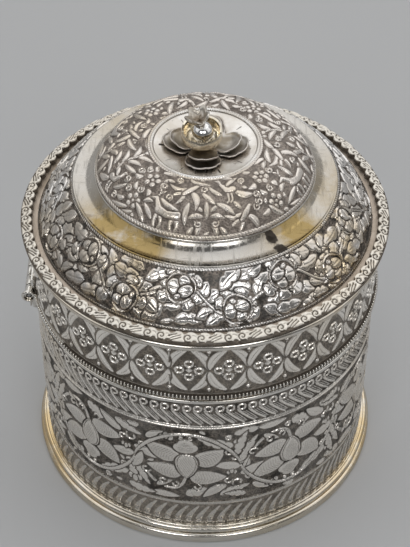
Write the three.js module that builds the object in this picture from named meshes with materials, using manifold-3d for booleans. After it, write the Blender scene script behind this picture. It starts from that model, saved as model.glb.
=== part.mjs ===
// A round silver box with a deep hinged lid: a drum-shaped body on a moulded foot, a lid that
// steps up from a flat gutter over a sloping brim and a hollow cove to a cushion-shaped dome,
// and a finial of round petals, a calyx, a bud and a crown. Millimetres, +Z up. The origin is the
// middle of the foot's underside, and the hinge is at the left, at -X, with its barrel along Y.

import * as THREE from 'three';
import * as BufferGeometryUtils from 'three/addons/utils/BufferGeometryUtils.js';
import Module from 'manifold-3d';

const wasm = await Module();
wasm.setup();

// Driving dimensions of the body, in millimetres
const wallRadius = 58.6; // outside of the body's wall and of the lid's wall
const wallThickness = 1.0;
const seamHeight = 72.8; // the closing plane of lid and body, above the table
const seamGap = 0.4;
const solderGap = 0.3; // left between pieces that are soldered, or screwed up tight

const footHeight = 3.7;
const footProjection = 3.7; // of the foot ring, outside the wall
const footLedgeHeight = 1.5; // the inner ledge that carries the wall and the base
const footLedgeWidth = 2.4; // of the ledge, inside the wall
const footWireHeight = 2.8;
const footWireProjection = 2.5;
const baseThickness = 1.0;

const mouthWireHeight = 1.6;
const mouthWireProjection = 1.0;
const bezelThickness = 0.9;
const bezelRise = 3.0; // how far the bezel stands up into the lid
const bezelDepth = 12.0; // how far it reaches down inside the body
const bezelClearance = 0.4; // between the bezel and the lid's wall

// Driving dimensions of the lid
const lidWallHeight = 27.0;
const beadWireRadius = 0.95;
const beadWireRise = 1.6; // middle of the bead wire above the seam
const rimMouldingHeight = 2.9;
const rimMouldingProjection = 2.4;
const lidSheet = 0.9; // thickness of the brim, the cove and the dome
const flangeProjection = 1.9; // of the brim's flat flange, outside the wall
const gutterWidth = 2.5; // from the wall's outside in to the foot of the brim
const borderProjection = 3.4; // of the scroll border, outside the wall
const borderEdgeThickness = 1.2;
const borderCrestThickness = 2.2;
const borderCrestInset = 0.3; // from the crest line out to the wall's outside
const borderUnits = 30; // leaf scrolls round the border
const scallopDepth = 0.6;
const brimRise = 15.9;
const brimBulge = 0.9; // how far the brim swells above a straight slope
const coveWidth = 7.4;
const coveRise = 3.1;
const coveHollow = 1.3; // how far the cove sinks below a straight slope
const coveFlangeWidth = 3.0; // the seat of the dome
const domeRadius = 36.0;
const domeRise = 9.6; // from the dome's edge to the disc's edge
const domeBulge = 3.5; // how far the dome swells above a straight slope
const domeLip = 0.9; // thickness of the dome's overhanging edge
const discRadius = 17.4; // the disc round the finial
const discDish = 1.6; // how far the disc's middle lies below its edge

// Driving dimensions of the hinge
const barrelRadius = 1.6;
const barrelStandoff = 0.5; // between the barrel and the wall
const barrelLength = 23.0;
const barrelGap = 0.4; // between neighbouring knuckles
const knuckleCount = 5;
const pinRadius = 0.8;
const pinClearance = 0.3;
const strapThickness = 0.7;
const strapInset = 0.25; // of the strap's middle, from the pin's middle towards the wall
const strapLength = 6.0;
const leafHeight = 6.8;
const collarRadius = 2.6;
const collarLength = 1.4;
const collarGrip = 0.6; // how much of the barrel's end a collar covers
const collarRound = 0.3; // taken off its outer edges

// Driving dimensions of the finial
const studRadius = 1.5;
const studClearance = 0.3;
const petalSheet = 0.5;
const petalCount = 4;
const petalSeatRadius = 4.8; // the flat middle of both layers
const petalTurn = THREE.MathUtils.degToRad(-6); // of both layers about the stud
const lowerPetals = { tip: 14.2, round: 6.2, cup: 0.6 }; // reach, radius of a petal, rise of its rim
const upperPetals = { tip: 11.7, round: 4.9, cup: 1.3 };
const calyxRound = 3.8; // radius of the calyx's side, seen in section
const calyxFlat = 3.1; // radius of its flat foot
const calyxSheet = 0.6;
const calyxClosing = 22; // degrees above level where its side ends, curled inwards
const calyxLobeRise = 0.5; // of the four lobes of its rim
const calyxOffset = 1.1; // the calyx leans this far towards the hinge
const budRadius = 3.5;
const budOffset = 0.8;
const budFootRadius = 2.4;
const budRise = 4.5; // from the calyx's foot to the bud's middle
const crownRadius = 4.0;
const crownHeight = 6.0;
const crownTilt = THREE.MathUtils.degToRad(12);
const crownLobes = 5;
const crownLobeDepth = 0.16; // as a share of the crown's radius
const washerRadius = 5.0;
const washerThickness = 0.9;
const nutRadius = 3.6; // across the corners
const nutThickness = 2.4;
const studTail = 1.2; // of the stud, past the nut

const roundSteps = 64; // facets round the box
const smallSteps = 24; // facets round pins and tubes
const petalSteps = 14; // facets to a petal
const calyxSteps = 7; // facets up the calyx's side
const lobeSteps = 6; // facets to a lobe of the crown

// Sizes that follow from the ones above
const wallInside = wallRadius - wallThickness;
const wallFoot = footLedgeHeight + solderGap;
const wallTop = seamHeight - seamGap / 2;
const lidWallFoot = seamHeight + seamGap / 2;
const lidWallTop = lidWallFoot + lidWallHeight;
const flangeTop = lidWallTop + solderGap + lidSheet;
const coveOuterRadius = domeRadius + coveWidth;
const brimFootRadius = wallRadius - gutterWidth;
const brimTop = flangeTop + brimRise;
const coveTop = brimTop + coveRise;
const domeEdge = coveTop + solderGap + domeLip;
const discEdge = domeEdge + domeRise;
const discMiddle = discEdge - discDish;
const studHole = studRadius + studClearance;
const hingeAxis = new THREE.Vector3(-(wallRadius + barrelStandoff + barrelRadius), 0, seamHeight);
const knuckleLength = (barrelLength - (knuckleCount - 1) * barrelGap) / knuckleCount;
const collarStart = barrelLength / 2 - collarGrip;
const hingeNotchHalf = collarStart + collarLength + 2 * solderGap;

// A point of a section: distance from the axis, and height.
const at = (r, z) => new THREE.Vector2(r, z);

// Points of an arc in a section, counter-clockwise for a rising angle.
function arcPoints(middle, radius, fromDegrees, toDegrees, steps) {
  return Array.from({ length: steps + 1 }, (_, i) => {
    const angle = THREE.MathUtils.degToRad(fromDegrees + ((toDegrees - fromDegrees) * i) / steps);
    return at(middle.x + radius * Math.cos(angle), middle.y + radius * Math.sin(angle));
  });
}

// Points from one end to the other of a stretch that swells sideways from the straight line.
function bowedPoints(start, end, swell, steps) {
  const along = end.clone().sub(start);
  const across = at(along.y, -along.x).normalize();
  return Array.from({ length: steps + 1 }, (_, i) => {
    const share = i / steps;
    const point = start.clone().addScaledVector(along, share);
    return point.addScaledVector(across, swell * 4 * share * (1 - share));
  });
}

// The closed section of a sheet whose outer face runs inwards and up through the points.
function sheetSection(outerFace, thickness) {
  const innerFace = outerFace.map((point, i) => {
    const before = outerFace[Math.max(i - 1, 0)];
    const after = outerFace[Math.min(i + 1, outerFace.length - 1)];
    const along = after.clone().sub(before).normalize();
    return at(point.x - along.y * thickness, point.y + along.x * thickness);
  });
  return [...outerFace, ...innerFace.reverse()];
}

// A turned ring: its section is listed counter-clockwise and closes on itself.
function turnedRing(section, steps = roundSteps) {
  const ring = new THREE.LatheGeometry([...section, section[0]], steps);
  return ring.rotateX(Math.PI / 2);
}

// A turned solid: its section starts on the axis at the bottom and ends on the axis at the top.
function turnedSolid(section, steps = roundSteps) {
  return new THREE.LatheGeometry(section, steps).rotateX(Math.PI / 2);
}

// A ring whose section is a plain rectangle.
function flatRing(innerRadius, outerRadius, bottom, top, steps = roundSteps) {
  const section = [
    at(innerRadius, bottom),
    at(outerRadius, bottom),
    at(outerRadius, top),
    at(innerRadius, top),
  ];
  return turnedRing(section, steps);
}

// A solid that can be joined to others or cut by them.
function toSolid(geometry) {
  const plain = geometry.clone();
  plain.deleteAttribute('normal');
  plain.deleteAttribute('uv');
  const merged = BufferGeometryUtils.mergeVertices(plain, 1e-4);
  return new wasm.Manifold(
    new wasm.Mesh({
      numProp: 3,
      vertProperties: merged.attributes.position.array,
      triVerts: new Uint32Array(merged.index.array),
    }),
  );
}

function toGeometry(solid) {
  const mesh = solid.getMesh();
  const geometry = new THREE.BufferGeometry();
  geometry.setAttribute('position', new THREE.BufferAttribute(mesh.vertProperties, 3));
  geometry.setIndex(new THREE.BufferAttribute(mesh.triVerts, 1));
  return geometry;
}

// A box given by its lowest and highest corners.
function boxBetween(low, high) {
  const size = high.clone().sub(low);
  const middle = low.clone().add(high).multiplyScalar(0.5);
  return new THREE.BoxGeometry(size.x, size.y, size.z).translate(middle.x, middle.y, middle.z);
}

// A cylinder along Y through the hinge axis.
function hingeCylinder(radius, length, middleY) {
  const cylinder = new THREE.CylinderGeometry(radius, radius, length, smallSteps);
  return cylinder.translate(hingeAxis.x, middleY, hingeAxis.z);
}

// The rings at the seam stop short of the hinge on both sides.
function cutForHinge(ring) {
  const low = new THREE.Vector3(-2 * wallRadius, -hingeNotchHalf, 0);
  const high = new THREE.Vector3(-wallRadius / 2, hingeNotchHalf, 2 * seamHeight);
  return toGeometry(toSolid(ring).subtract(toSolid(boxBetween(low, high))));
}

const box = new THREE.Group();
const body = new THREE.Group();
const lid = new THREE.Group();
box.add(body, lid);

// Each piece is a mesh with a finish of its own.
function addPiece(group, name, geometry, finish) {
  const mesh = new THREE.Mesh(geometry, new THREE.MeshStandardMaterial(finish));
  mesh.name = name;
  group.add(mesh);
  return mesh;
}

const chasedSilver = { color: 0x9b958c, roughness: 0.42, metalness: 0.95 };
const plainSilver = { color: 0xc9c6c0, roughness: 0.25, metalness: 1.0 };
const warmSilver = { color: 0xc4b48e, roughness: 0.22, metalness: 1.0 };
const whiteSilver = { color: 0xcfcac1, roughness: 0.5, metalness: 0.8 };
const innerSilver = { color: 0xb8b2a4, roughness: 0.35, metalness: 1.0 };
const steel = { color: 0x8d8f92, roughness: 0.4, metalness: 1.0 };

// Body: the wall is one rolled sheet that stands on the ledge of the foot.
addPiece(body, 'body_wall', flatRing(wallInside, wallRadius, wallFoot, wallTop), chasedSilver);

const baseTop = wallFoot + baseThickness;
const baseRadius = wallInside - solderGap;
const baseSection = [at(0, wallFoot), at(baseRadius, wallFoot), at(baseRadius, baseTop), at(0, baseTop)];
addPiece(body, 'base_plate', turnedSolid(baseSection), innerSilver);

// The foot: a rounded ring with the wall sunk into it, and a half-round wire above.
const footBore = wallRadius + solderGap;
const footRadius = wallRadius + footProjection;
const footRound = 1.5;
const footSection = [
  at(wallInside - footLedgeWidth, 0),
  at(footRadius - footRound / 3, 0),
  at(footRadius, footRound / 3),
  ...arcPoints(at(footRadius - footRound, footHeight - footRound), footRound, 0, 90, 4),
  at(footBore, footHeight),
  at(footBore, footLedgeHeight),
  at(wallInside - footLedgeWidth, footLedgeHeight),
];
addPiece(body, 'foot_ring', turnedRing(footSection), warmSilver);

const footWireFoot = footHeight + solderGap;
const footWireSection = [
  at(footBore, footWireFoot),
  at(footBore + footWireProjection * 0.7, footWireFoot),
  at(footBore + footWireProjection, footWireFoot + footWireHeight * 0.28),
  at(footBore + footWireProjection * 0.92, footWireFoot + footWireHeight * 0.6),
  at(footBore + footWireProjection * 0.6, footWireFoot + footWireHeight * 0.88),
  at(footBore, footWireFoot + footWireHeight),
];
addPiece(body, 'foot_wire', turnedRing(footWireSection), warmSilver);

// The mouth: a plain wire outside under the seam, and an upright bezel inside that guides the lid.
const mouthWire = flatRing(
  wallRadius + solderGap,
  wallRadius + mouthWireProjection,
  wallTop - mouthWireHeight,
  wallTop,
);
addPiece(body, 'mouth_wire', cutForHinge(mouthWire), plainSilver);

const bezelRadius = wallInside - bezelClearance;
const bezelTop = seamHeight + bezelRise;
const bezelSection = [
  at(bezelRadius - bezelThickness, seamHeight - bezelDepth),
  at(bezelRadius, seamHeight - bezelDepth),
  at(bezelRadius, bezelTop - bezelThickness / 2),
  at(bezelRadius - bezelThickness / 2, bezelTop),
  at(bezelRadius - bezelThickness, bezelTop),
];
addPiece(body, 'mouth_bezel', turnedRing(bezelSection), innerSilver);

// The lid's wall, and the plain rings round it.
addPiece(lid, 'lid_wall', flatRing(wallInside, wallRadius, lidWallFoot, lidWallTop), chasedSilver);

const beadSection = arcPoints(
  at(wallRadius + solderGap + beadWireRadius, seamHeight + beadWireRise),
  beadWireRadius,
  0,
  315,
  7,
);
addPiece(lid, 'lid_bead_wire', cutForHinge(turnedRing(beadSection)), plainSilver);

const rimMouldingBore = wallRadius + solderGap;
const rimMouldingSection = [
  at(rimMouldingBore, lidWallTop - rimMouldingHeight),
  ...arcPoints(
    at(rimMouldingBore + rimMouldingProjection - rimMouldingHeight / 2, lidWallTop - rimMouldingHeight / 2),
    rimMouldingHeight / 2,
    -90,
    90,
    8,
  ),
  at(rimMouldingBore, lidWallTop),
];
addPiece(lid, 'lid_rim_moulding', turnedRing(rimMouldingSection), plainSilver);

// The brim, the cove and the dome's seat are raised from one sheet.
const brimFoot = at(brimFootRadius, flangeTop);
const coveStart = at(coveOuterRadius, brimTop);
const coveEnd = at(domeRadius - lidSheet / 2, coveTop);
const brimFace = [
  at(wallRadius + flangeProjection, flangeTop),
  ...bowedPoints(brimFoot, coveStart, brimBulge, 4),
  ...bowedPoints(coveStart, coveEnd, -coveHollow, 4).slice(1),
  at(domeRadius - coveFlangeWidth, coveTop),
];
addPiece(lid, 'lid_brim', turnedRing(sheetSection(brimFace, lidSheet)), chasedSilver);

// The scroll border lies on the flange. Its inner edge is scalloped, one scallop to a scroll.
const borderFoot = flangeTop + solderGap;
const borderInside = wallRadius - borderCrestInset;
const borderSection = [
  at(borderInside, borderFoot),
  at(wallRadius + borderProjection, borderFoot),
  at(wallRadius + borderProjection, borderFoot + borderEdgeThickness),
  at(wallRadius + borderCrestInset, borderFoot + borderCrestThickness),
  at(borderInside, borderFoot + borderCrestThickness - scallopDepth / 2),
];
const border = turnedRing(borderSection, borderUnits * 4);
const borderPoints = border.attributes.position;
for (let i = 0; i < borderPoints.count; i += 1) {
  const point = new THREE.Vector3().fromBufferAttribute(borderPoints, i);
  const radius = Math.hypot(point.x, point.y);
  if (radius < wallRadius) {
    const turn = Math.atan2(point.y, point.x);
    const bite = scallopDepth * (0.5 - 0.5 * Math.cos(turn * borderUnits));
    const scale = (radius - scallopDepth + bite) / radius;
    borderPoints.setXYZ(i, point.x * scale, point.y * scale, point.z);
  }
}
addPiece(lid, 'scroll_border', border, whiteSilver);

// The dome overhangs the cove with a small lip, and ends in a dished disc round the stud hole.
const domeFace = bowedPoints(at(domeRadius, domeEdge), at(discRadius, discEdge), domeBulge, 7);
const discFace = bowedPoints(at(discRadius, discEdge), at(studHole, discMiddle), -discDish / 4, 4);
const domeSection = [
  at(domeRadius + domeLip / 2, coveTop + solderGap),
  at(domeRadius + domeLip / 2, domeEdge - domeLip / 3),
  ...sheetSection([...domeFace, ...discFace.slice(1)], lidSheet).slice(0, -1),
  at(domeRadius - coveFlangeWidth, coveTop + solderGap),
];
addPiece(lid, 'lid_dome', turnedRing(domeSection), chasedSilver);

// The hinge: leaves shaped to the wall, knuckles with straps on the leaves, a pin and two collars.
const strapOuter = hingeAxis.x - strapThickness / 2 + strapInset;
const strapInner = strapOuter + strapThickness;
const leafOuter = strapInner + solderGap;

function hingeLeaf(side) {
  const halfLength = collarStart - solderGap;
  const nearSeam = seamHeight + side * solderGap;
  const farEdge = seamHeight + side * leafHeight;
  const low = new THREE.Vector3(leafOuter, -halfLength, Math.min(nearSeam, farEdge));
  const high = new THREE.Vector3(-wallRadius / 2, halfLength, Math.max(nearSeam, farEdge));
  const wallHeight = 4 * leafHeight;
  const wall = new THREE.CylinderGeometry(
    wallRadius + solderGap,
    wallRadius + solderGap,
    wallHeight,
    roundSteps,
  );
  wall.rotateX(Math.PI / 2).translate(0, 0, seamHeight);
  const barrelRoom = hingeCylinder(barrelRadius + solderGap, barrelLength, 0);
  const plate = toSolid(boxBetween(low, high));
  return toGeometry(plate.subtract(toSolid(wall)).subtract(toSolid(barrelRoom)));
}

function hingeKnuckle(index, side) {
  const middleY = -barrelLength / 2 + knuckleLength / 2 + index * (knuckleLength + barrelGap);
  const strapHalf = knuckleLength / 2 - collarGrip - solderGap;
  const farEnd = hingeAxis.z + side * strapLength;
  const low = new THREE.Vector3(strapOuter, middleY - strapHalf, Math.min(hingeAxis.z, farEnd));
  const high = new THREE.Vector3(strapInner, middleY + strapHalf, Math.max(hingeAxis.z, farEnd));
  const barrel = toSolid(hingeCylinder(barrelRadius, knuckleLength, middleY));
  const bore = toSolid(hingeCylinder(pinRadius + pinClearance, 2 * knuckleLength, middleY));
  return toGeometry(barrel.add(toSolid(boxBetween(low, high))).subtract(bore));
}

const bodySide = -1;
const lidSide = 1;
addPiece(body, 'body_hinge_leaf', hingeLeaf(bodySide), plainSilver);
addPiece(lid, 'lid_hinge_leaf', hingeLeaf(lidSide), plainSilver);
for (let i = 0; i < knuckleCount; i += 1) {
  const onBody = i % 2 === 0;
  const owner = onBody ? 'body' : 'lid';
  const knuckle = hingeKnuckle(i, onBody ? bodySide : lidSide);
  addPiece(onBody ? body : lid, `${owner}_knuckle_${i + 1}`, knuckle, plainSilver);
}

addPiece(body, 'hinge_pin', hingeCylinder(pinRadius, barrelLength, 0), steel);

// A collar is a rolled ring that grips the end of the barrel and stands past it.
function hingeCollar(side) {
  const bore = barrelRadius + solderGap;
  const section = [
    at(bore, 0),
    at(collarRadius - collarRound, 0),
    at(collarRadius, collarLength * 0.3),
    at(collarRadius, collarLength * 0.7),
    at(collarRadius - collarRound, collarLength),
    at(bore, collarLength),
  ];
  const ring = new THREE.LatheGeometry([...section, section[0]], smallSteps);
  const middleY = side * (collarStart + collarLength / 2);
  return ring.translate(hingeAxis.x, middleY - collarLength / 2, hingeAxis.z);
}
addPiece(body, 'hinge_collar_near', hingeCollar(-1), plainSilver);
addPiece(body, 'hinge_collar_far', hingeCollar(1), plainSilver);

// How far the disc lies above its own middle at a distance from the axis.
function discRise(r) {
  return discDish * ((r - studHole) / (discRadius - studHole)) ** 2;
}

// A layer of petals is one sheet cut to round petals. It follows the dish of the disc, and
// each petal's rim stands up a little round its own middle.
function petalLayer(petals, foot) {
  const reach = petals.tip - petals.round; // from the axis to a petal's middle
  const face = [1, 0.88, 0.74, 0.58].map((share) => at(petals.tip * share, foot + petalSheet));
  face.push(at(petalSeatRadius, foot + petalSheet), at(studHole, foot + petalSheet));
  const sheet = turnedRing(sheetSection(face, petalSheet), petalCount * petalSteps);
  const points = sheet.attributes.position;
  const turn = (2 * Math.PI) / petalCount;
  for (let i = 0; i < points.count; i += 1) {
    const point = new THREE.Vector3().fromBufferAttribute(points, i);
    const r = Math.hypot(point.x, point.y);
    const angle = Math.atan2(point.y, point.x);
    const fromPetal = angle - turn * Math.round(angle / turn);
    const side = reach * Math.sin(fromPetal);
    const outline = reach * Math.cos(fromPetal) + Math.sqrt(petals.round ** 2 - side ** 2);
    const share = (r - studHole) / (petals.tip - studHole);
    const newRadius = studHole + share * (outline - studHole);
    const fromMiddle = Math.hypot(newRadius * Math.cos(fromPetal) - reach, newRadius * Math.sin(fromPetal));
    const outside = Math.max(0, (newRadius - petalSeatRadius) / (petals.tip - petalSeatRadius));
    const rim = petals.cup * (fromMiddle / petals.round) ** 2 * Math.min(1, 3 * outside);
    const scale = newRadius / r;
    points.setXYZ(i, point.x * scale, point.y * scale, point.z + discRise(newRadius) + rim);
  }
  return sheet.rotateZ(petalTurn);
}

const lowerPetalFoot = discMiddle + solderGap;
const upperPetalFoot = lowerPetalFoot + petalSheet + solderGap;
const lowerLayer = petalLayer(lowerPetals, lowerPetalFoot);
const upperLayer = petalLayer(upperPetals, upperPetalFoot);
addPiece(lid, 'finial_lower_petals', lowerLayer, plainSilver);
addPiece(lid, 'finial_upper_petals', upperLayer, plainSilver);

// The calyx is a small bowl with a lobed rim. The stud comes up through it and both layers.
const calyxFoot = upperPetalFoot + petalSheet + solderGap;
const calyxWidest = at(calyxFlat, calyxFoot + calyxRound);
const calyxSection = [
  at(0, calyxFoot),
  ...arcPoints(calyxWidest, calyxRound, -90, calyxClosing, calyxSteps),
  ...arcPoints(calyxWidest, calyxRound - calyxSheet, calyxClosing, -90, calyxSteps),
  at(0, calyxFoot + calyxSheet),
];
const calyx = turnedSolid(calyxSection, smallSteps + petalCount);
const calyxPoints = calyx.attributes.position;
for (let i = 0; i < calyxPoints.count; i += 1) {
  const height = Math.max(0, (calyxPoints.getZ(i) - calyxWidest.y) / calyxRound);
  const angle = Math.atan2(calyxPoints.getY(i), calyxPoints.getX(i));
  const rise = calyxLobeRise * height * Math.cos(petalCount * angle);
  calyxPoints.setZ(i, calyxPoints.getZ(i) + rise);
}
calyx.translate(-calyxOffset, 0, 0);
const budCentre = new THREE.Vector3(-budOffset, 0, calyxFoot + budRise);
const studTop = budCentre.z - budRadius / 4;
const drillTop = studTop + studClearance;
const drillLength = 2 * budRise;
const drill = new THREE.CylinderGeometry(studHole, studHole, drillLength, smallSteps);
drill.rotateX(Math.PI / 2).translate(0, 0, drillTop - drillLength / 2);
addPiece(lid, 'finial_calyx', toGeometry(toSolid(calyx).subtract(toSolid(drill))), plainSilver);

// The bud is a ball on a short foot, drilled for the stud from below.
const ball = new THREE.SphereGeometry(budRadius, 24, 14).rotateX(Math.PI / 2);
ball.translate(budCentre.x, budCentre.y, budCentre.z);
const budSeat = calyxFoot + calyxSheet + solderGap;
const budFootLength = budCentre.z - budSeat;
const budFoot = new THREE.CylinderGeometry(budFootRadius, budFootRadius, budFootLength, smallSteps);
budFoot.rotateX(Math.PI / 2).translate(0, 0, budSeat + budFootLength / 2);
const drilledBud = toSolid(ball).add(toSolid(budFoot)).subtract(toSolid(drill));
addPiece(lid, 'finial_bud', toGeometry(drilledBud), plainSilver);

// The crown is a small lobed flower on a short neck on top of the bud, tilted towards the hinge.
const crownSection = [
  at(0, 0),
  at(crownRadius * 0.5, 0),
  at(crownRadius * 0.42, crownHeight * 0.18),
  at(crownRadius * 0.6, crownHeight * 0.38),
  at(crownRadius * 0.92, crownHeight * 0.6),
  at(crownRadius, crownHeight * 0.86),
  at(crownRadius * 0.9, crownHeight),
  at(crownRadius * 0.55, crownHeight * 0.8),
  at(0, crownHeight * 0.62),
];
const crown = turnedSolid(crownSection, crownLobes * lobeSteps);
const crownPoints = crown.attributes.position;
for (let i = 0; i < crownPoints.count; i += 1) {
  const point = new THREE.Vector3().fromBufferAttribute(crownPoints, i);
  const lobe = crownLobeDepth * (point.z / crownHeight) * Math.cos(Math.atan2(point.y, point.x) * crownLobes);
  crownPoints.setXYZ(i, point.x * (1 + lobe), point.y * (1 + lobe), point.z);
}
const crownPiece = addPiece(lid, 'finial_crown', crown, plainSilver);
crownPiece.rotation.y = -crownTilt;
crownPiece.position
  .set(-Math.sin(crownTilt), 0, Math.cos(crownTilt))
  .multiplyScalar(budRadius + solderGap)
  .add(budCentre);

// Under the dome, a washer and a nut hold the stud.
const washerTop = discMiddle - lidSheet - discDish / 4 - solderGap;
const washerFoot = washerTop - washerThickness;
addPiece(lid, 'finial_washer', flatRing(studHole, washerRadius, washerFoot, washerTop, smallSteps), steel);

const nutTop = washerFoot - solderGap;
const nut = new THREE.CylinderGeometry(nutRadius, nutRadius, nutThickness, 6);
nut.rotateX(Math.PI / 2).translate(0, 0, nutTop - nutThickness / 2);
const nutBore = new THREE.CylinderGeometry(studHole, studHole, 2 * nutThickness, smallSteps);
nutBore.rotateX(Math.PI / 2).translate(0, 0, nutTop - nutThickness / 2);
addPiece(lid, 'finial_nut', toGeometry(toSolid(nut).subtract(toSolid(nutBore))), steel);

const studFoot = nutTop - nutThickness - studTail;
const stud = new THREE.CylinderGeometry(studRadius, studRadius, studTop - studFoot, smallSteps);
stud.rotateX(Math.PI / 2).translate(0, 0, (studTop + studFoot) / 2);
addPiece(lid, 'finial_stud', stud, steel);

export default box;
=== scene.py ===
import math
import bpy
import numpy as np
from mathutils import Matrix, Vector


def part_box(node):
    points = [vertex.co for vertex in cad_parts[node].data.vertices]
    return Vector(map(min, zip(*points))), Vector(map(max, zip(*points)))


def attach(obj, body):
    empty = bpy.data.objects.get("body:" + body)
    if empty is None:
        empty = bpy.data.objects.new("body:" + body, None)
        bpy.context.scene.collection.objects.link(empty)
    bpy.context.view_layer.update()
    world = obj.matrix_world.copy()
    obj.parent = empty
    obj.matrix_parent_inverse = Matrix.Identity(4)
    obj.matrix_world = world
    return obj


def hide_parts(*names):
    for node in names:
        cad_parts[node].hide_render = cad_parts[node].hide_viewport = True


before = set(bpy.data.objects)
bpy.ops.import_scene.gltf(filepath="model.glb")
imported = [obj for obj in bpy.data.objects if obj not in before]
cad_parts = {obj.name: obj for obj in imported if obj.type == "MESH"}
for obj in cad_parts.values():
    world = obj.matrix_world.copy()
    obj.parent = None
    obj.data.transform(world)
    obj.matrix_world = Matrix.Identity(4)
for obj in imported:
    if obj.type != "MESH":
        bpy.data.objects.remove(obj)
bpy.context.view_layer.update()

mm = 0.001
frontAngle = -90.0  # degrees round the box; the hinge is at 180


# Sizes from the frame, in millimetres

def boxOf(node):
    low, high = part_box(node)
    return [c / mm for c in low], [c / mm for c in high]


wallRadius = boxOf("body_wall")[1][1]
wallFoot, mouthHeight = boxOf("body_wall")[0][2], boxOf("body_wall")[1][2]
lidFoot, lidTop = boxOf("lid_wall")[0][2], boxOf("lid_wall")[1][2]
wallInside = boxOf("base_plate")[1][1] + 0.3
brimSpan = boxOf("lid_brim")
borderSpan = boxOf("scroll_border")
domeSpan = boxOf("lid_dome")
hingeLow, hingeHigh = boxOf("hinge_pin")
hingeX = (hingeLow[0] + hingeHigh[0]) / 2
hingeZ = (hingeLow[2] + hingeHigh[2]) / 2
leafClearance = 2.4  # rings that meet the hinge stop this far from its leaves


# Modelling helpers

def deselect():
    if bpy.context.object and bpy.context.object.mode != "OBJECT":
        bpy.ops.object.mode_set(mode="OBJECT")
    bpy.ops.object.select_all(action="DESELECT")


def choose(piece):
    deselect()
    piece.select_set(True)
    bpy.context.view_layer.objects.active = piece


def shade(piece, degrees=40):
    choose(piece)
    bpy.ops.object.shade_smooth_by_angle(angle=math.radians(degrees))
    return piece


def tidyMesh(piece, threshold=1e-6):
    choose(piece)
    bpy.ops.object.mode_set(mode="EDIT")
    bpy.ops.mesh.select_all(action="SELECT")
    bpy.ops.mesh.remove_doubles(threshold=threshold)
    bpy.ops.mesh.normals_make_consistent(inside=False)
    bpy.ops.object.mode_set(mode="OBJECT")


def capEnds():
    # in edit mode: closes every open edge loop with a face
    bpy.ops.mesh.select_all(action="DESELECT")
    bpy.ops.mesh.select_non_manifold()
    bpy.ops.mesh.fill_holes(sides=0)


def bevelEdges(piece, width, segments):
    choose(piece)
    bpy.ops.object.mode_set(mode="EDIT")
    bpy.ops.mesh.select_all(action="SELECT")
    bpy.ops.mesh.bevel(offset=width * mm, segments=segments)
    bpy.ops.object.mode_set(mode="OBJECT")
    tidyMesh(piece)


def placesOf(piece):
    # the places of all vertices, in metres
    places = np.zeros(len(piece.data.vertices) * 3)
    piece.data.vertices.foreach_get("co", places)
    return places.reshape(-1, 3)


def applyModifier(piece, kind, **settings):
    choose(piece)
    modifier = piece.modifiers.new(kind.lower(), kind)
    for key, value in settings.items():
        setattr(modifier, key, value)
    bpy.ops.object.modifier_apply(modifier=modifier.name)


def joined(name, pieces):
    deselect()
    for piece in pieces:
        piece.select_set(True)
    bpy.context.view_layer.objects.active = pieces[0]
    bpy.ops.object.join()
    pieces[0].name = name
    return pieces[0]


def turn(name, section, steps=256, centre=(0, 0, 0), axis="Z", sweep=360.0, degrees=40):
    # a closed section (distance from the axis, place along it) is drawn, then spun; a part turn is capped
    deselect()
    bpy.ops.mesh.primitive_circle_add(vertices=len(section), radius=1, fill_type="NOTHING")
    piece = bpy.context.object
    piece.name = name
    begin = math.radians(180 + (360 - sweep) / 2)
    cx, cy, cz = (c * mm for c in centre)
    for vertex, (r, along) in zip(piece.data.vertices, section):
        if axis == "Z":
            vertex.co = (cx + r * mm * math.cos(begin), cy + r * mm * math.sin(begin), cz + along * mm)
        else:
            vertex.co = (cx + r * mm, cy + along * mm, cz)
    spinAxis = (0, 0, 1) if axis == "Z" else (0, 1, 0)
    bpy.ops.object.mode_set(mode="EDIT")
    bpy.ops.mesh.select_all(action="SELECT")
    bpy.ops.mesh.spin(steps=steps, angle=math.radians(sweep), center=(cx, cy, cz), axis=spinAxis)
    if sweep < 360:
        bpy.ops.mesh.select_all(action="SELECT")
        bpy.ops.mesh.remove_doubles(threshold=1e-6)
        capEnds()
    bpy.ops.object.mode_set(mode="OBJECT")
    tidyMesh(piece)
    return shade(piece, degrees)


def eased(inner, outer, low, high, across, along):
    # a rectangle whose two outer corners are cut
    return [(inner, low), (outer - across, low), (outer, low + along), (outer, high - along),
            (outer - across, high), (inner, high)]


def arc(middle, radius, start, end, steps):
    angles = np.radians(np.linspace(start, end, steps + 1))
    return [(middle[0] + radius * math.cos(a), middle[1] + radius * math.sin(a)) for a in angles]


def bowed(start, end, swell, steps):
    # points of a line from start to end that swells to its right
    (r0, z0), (r1, z1) = start, end
    length = math.hypot(r1 - r0, z1 - z0)
    outR, outZ = (z1 - z0) / length, -(r1 - r0) / length
    shares = np.linspace(0, 1, steps + 1)
    bow = swell * 4 * shares * (1 - shares)
    return [(r0 + (r1 - r0) * t + outR * b, z0 + (z1 - z0) * t + outZ * b) for t, b in zip(shares, bow)]


def smooth(start, end, value):
    t = np.clip((value - start) / (end - start), 0, 1)
    return t * t * (3 - 2 * t)


def patches(degrees, spots):
    # soft patches round the box, each (middle in degrees, half width, strength)
    total = np.zeros_like(degrees)
    for middle, halfWidth, strength in spots:
        away = (degrees - middle + 180) % 360 - 180
        total += strength * np.exp(-(away / halfWidth) ** 2)
    return np.clip(total, 0, 1)


def setLayer(piece, layerName, values):
    layer = piece.data.attributes.new(layerName, "FLOAT", "POINT")
    layer.data.foreach_set("value", np.asarray(values, dtype=np.float32).ravel())


def stain(piece, spots, layerName="warm"):
    # gives every vertex the tarnish of its place round the box
    places = placesOf(piece)
    setLayer(piece, layerName, patches(np.degrees(np.arctan2(places[:, 1], places[:, 0])), spots))


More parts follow.
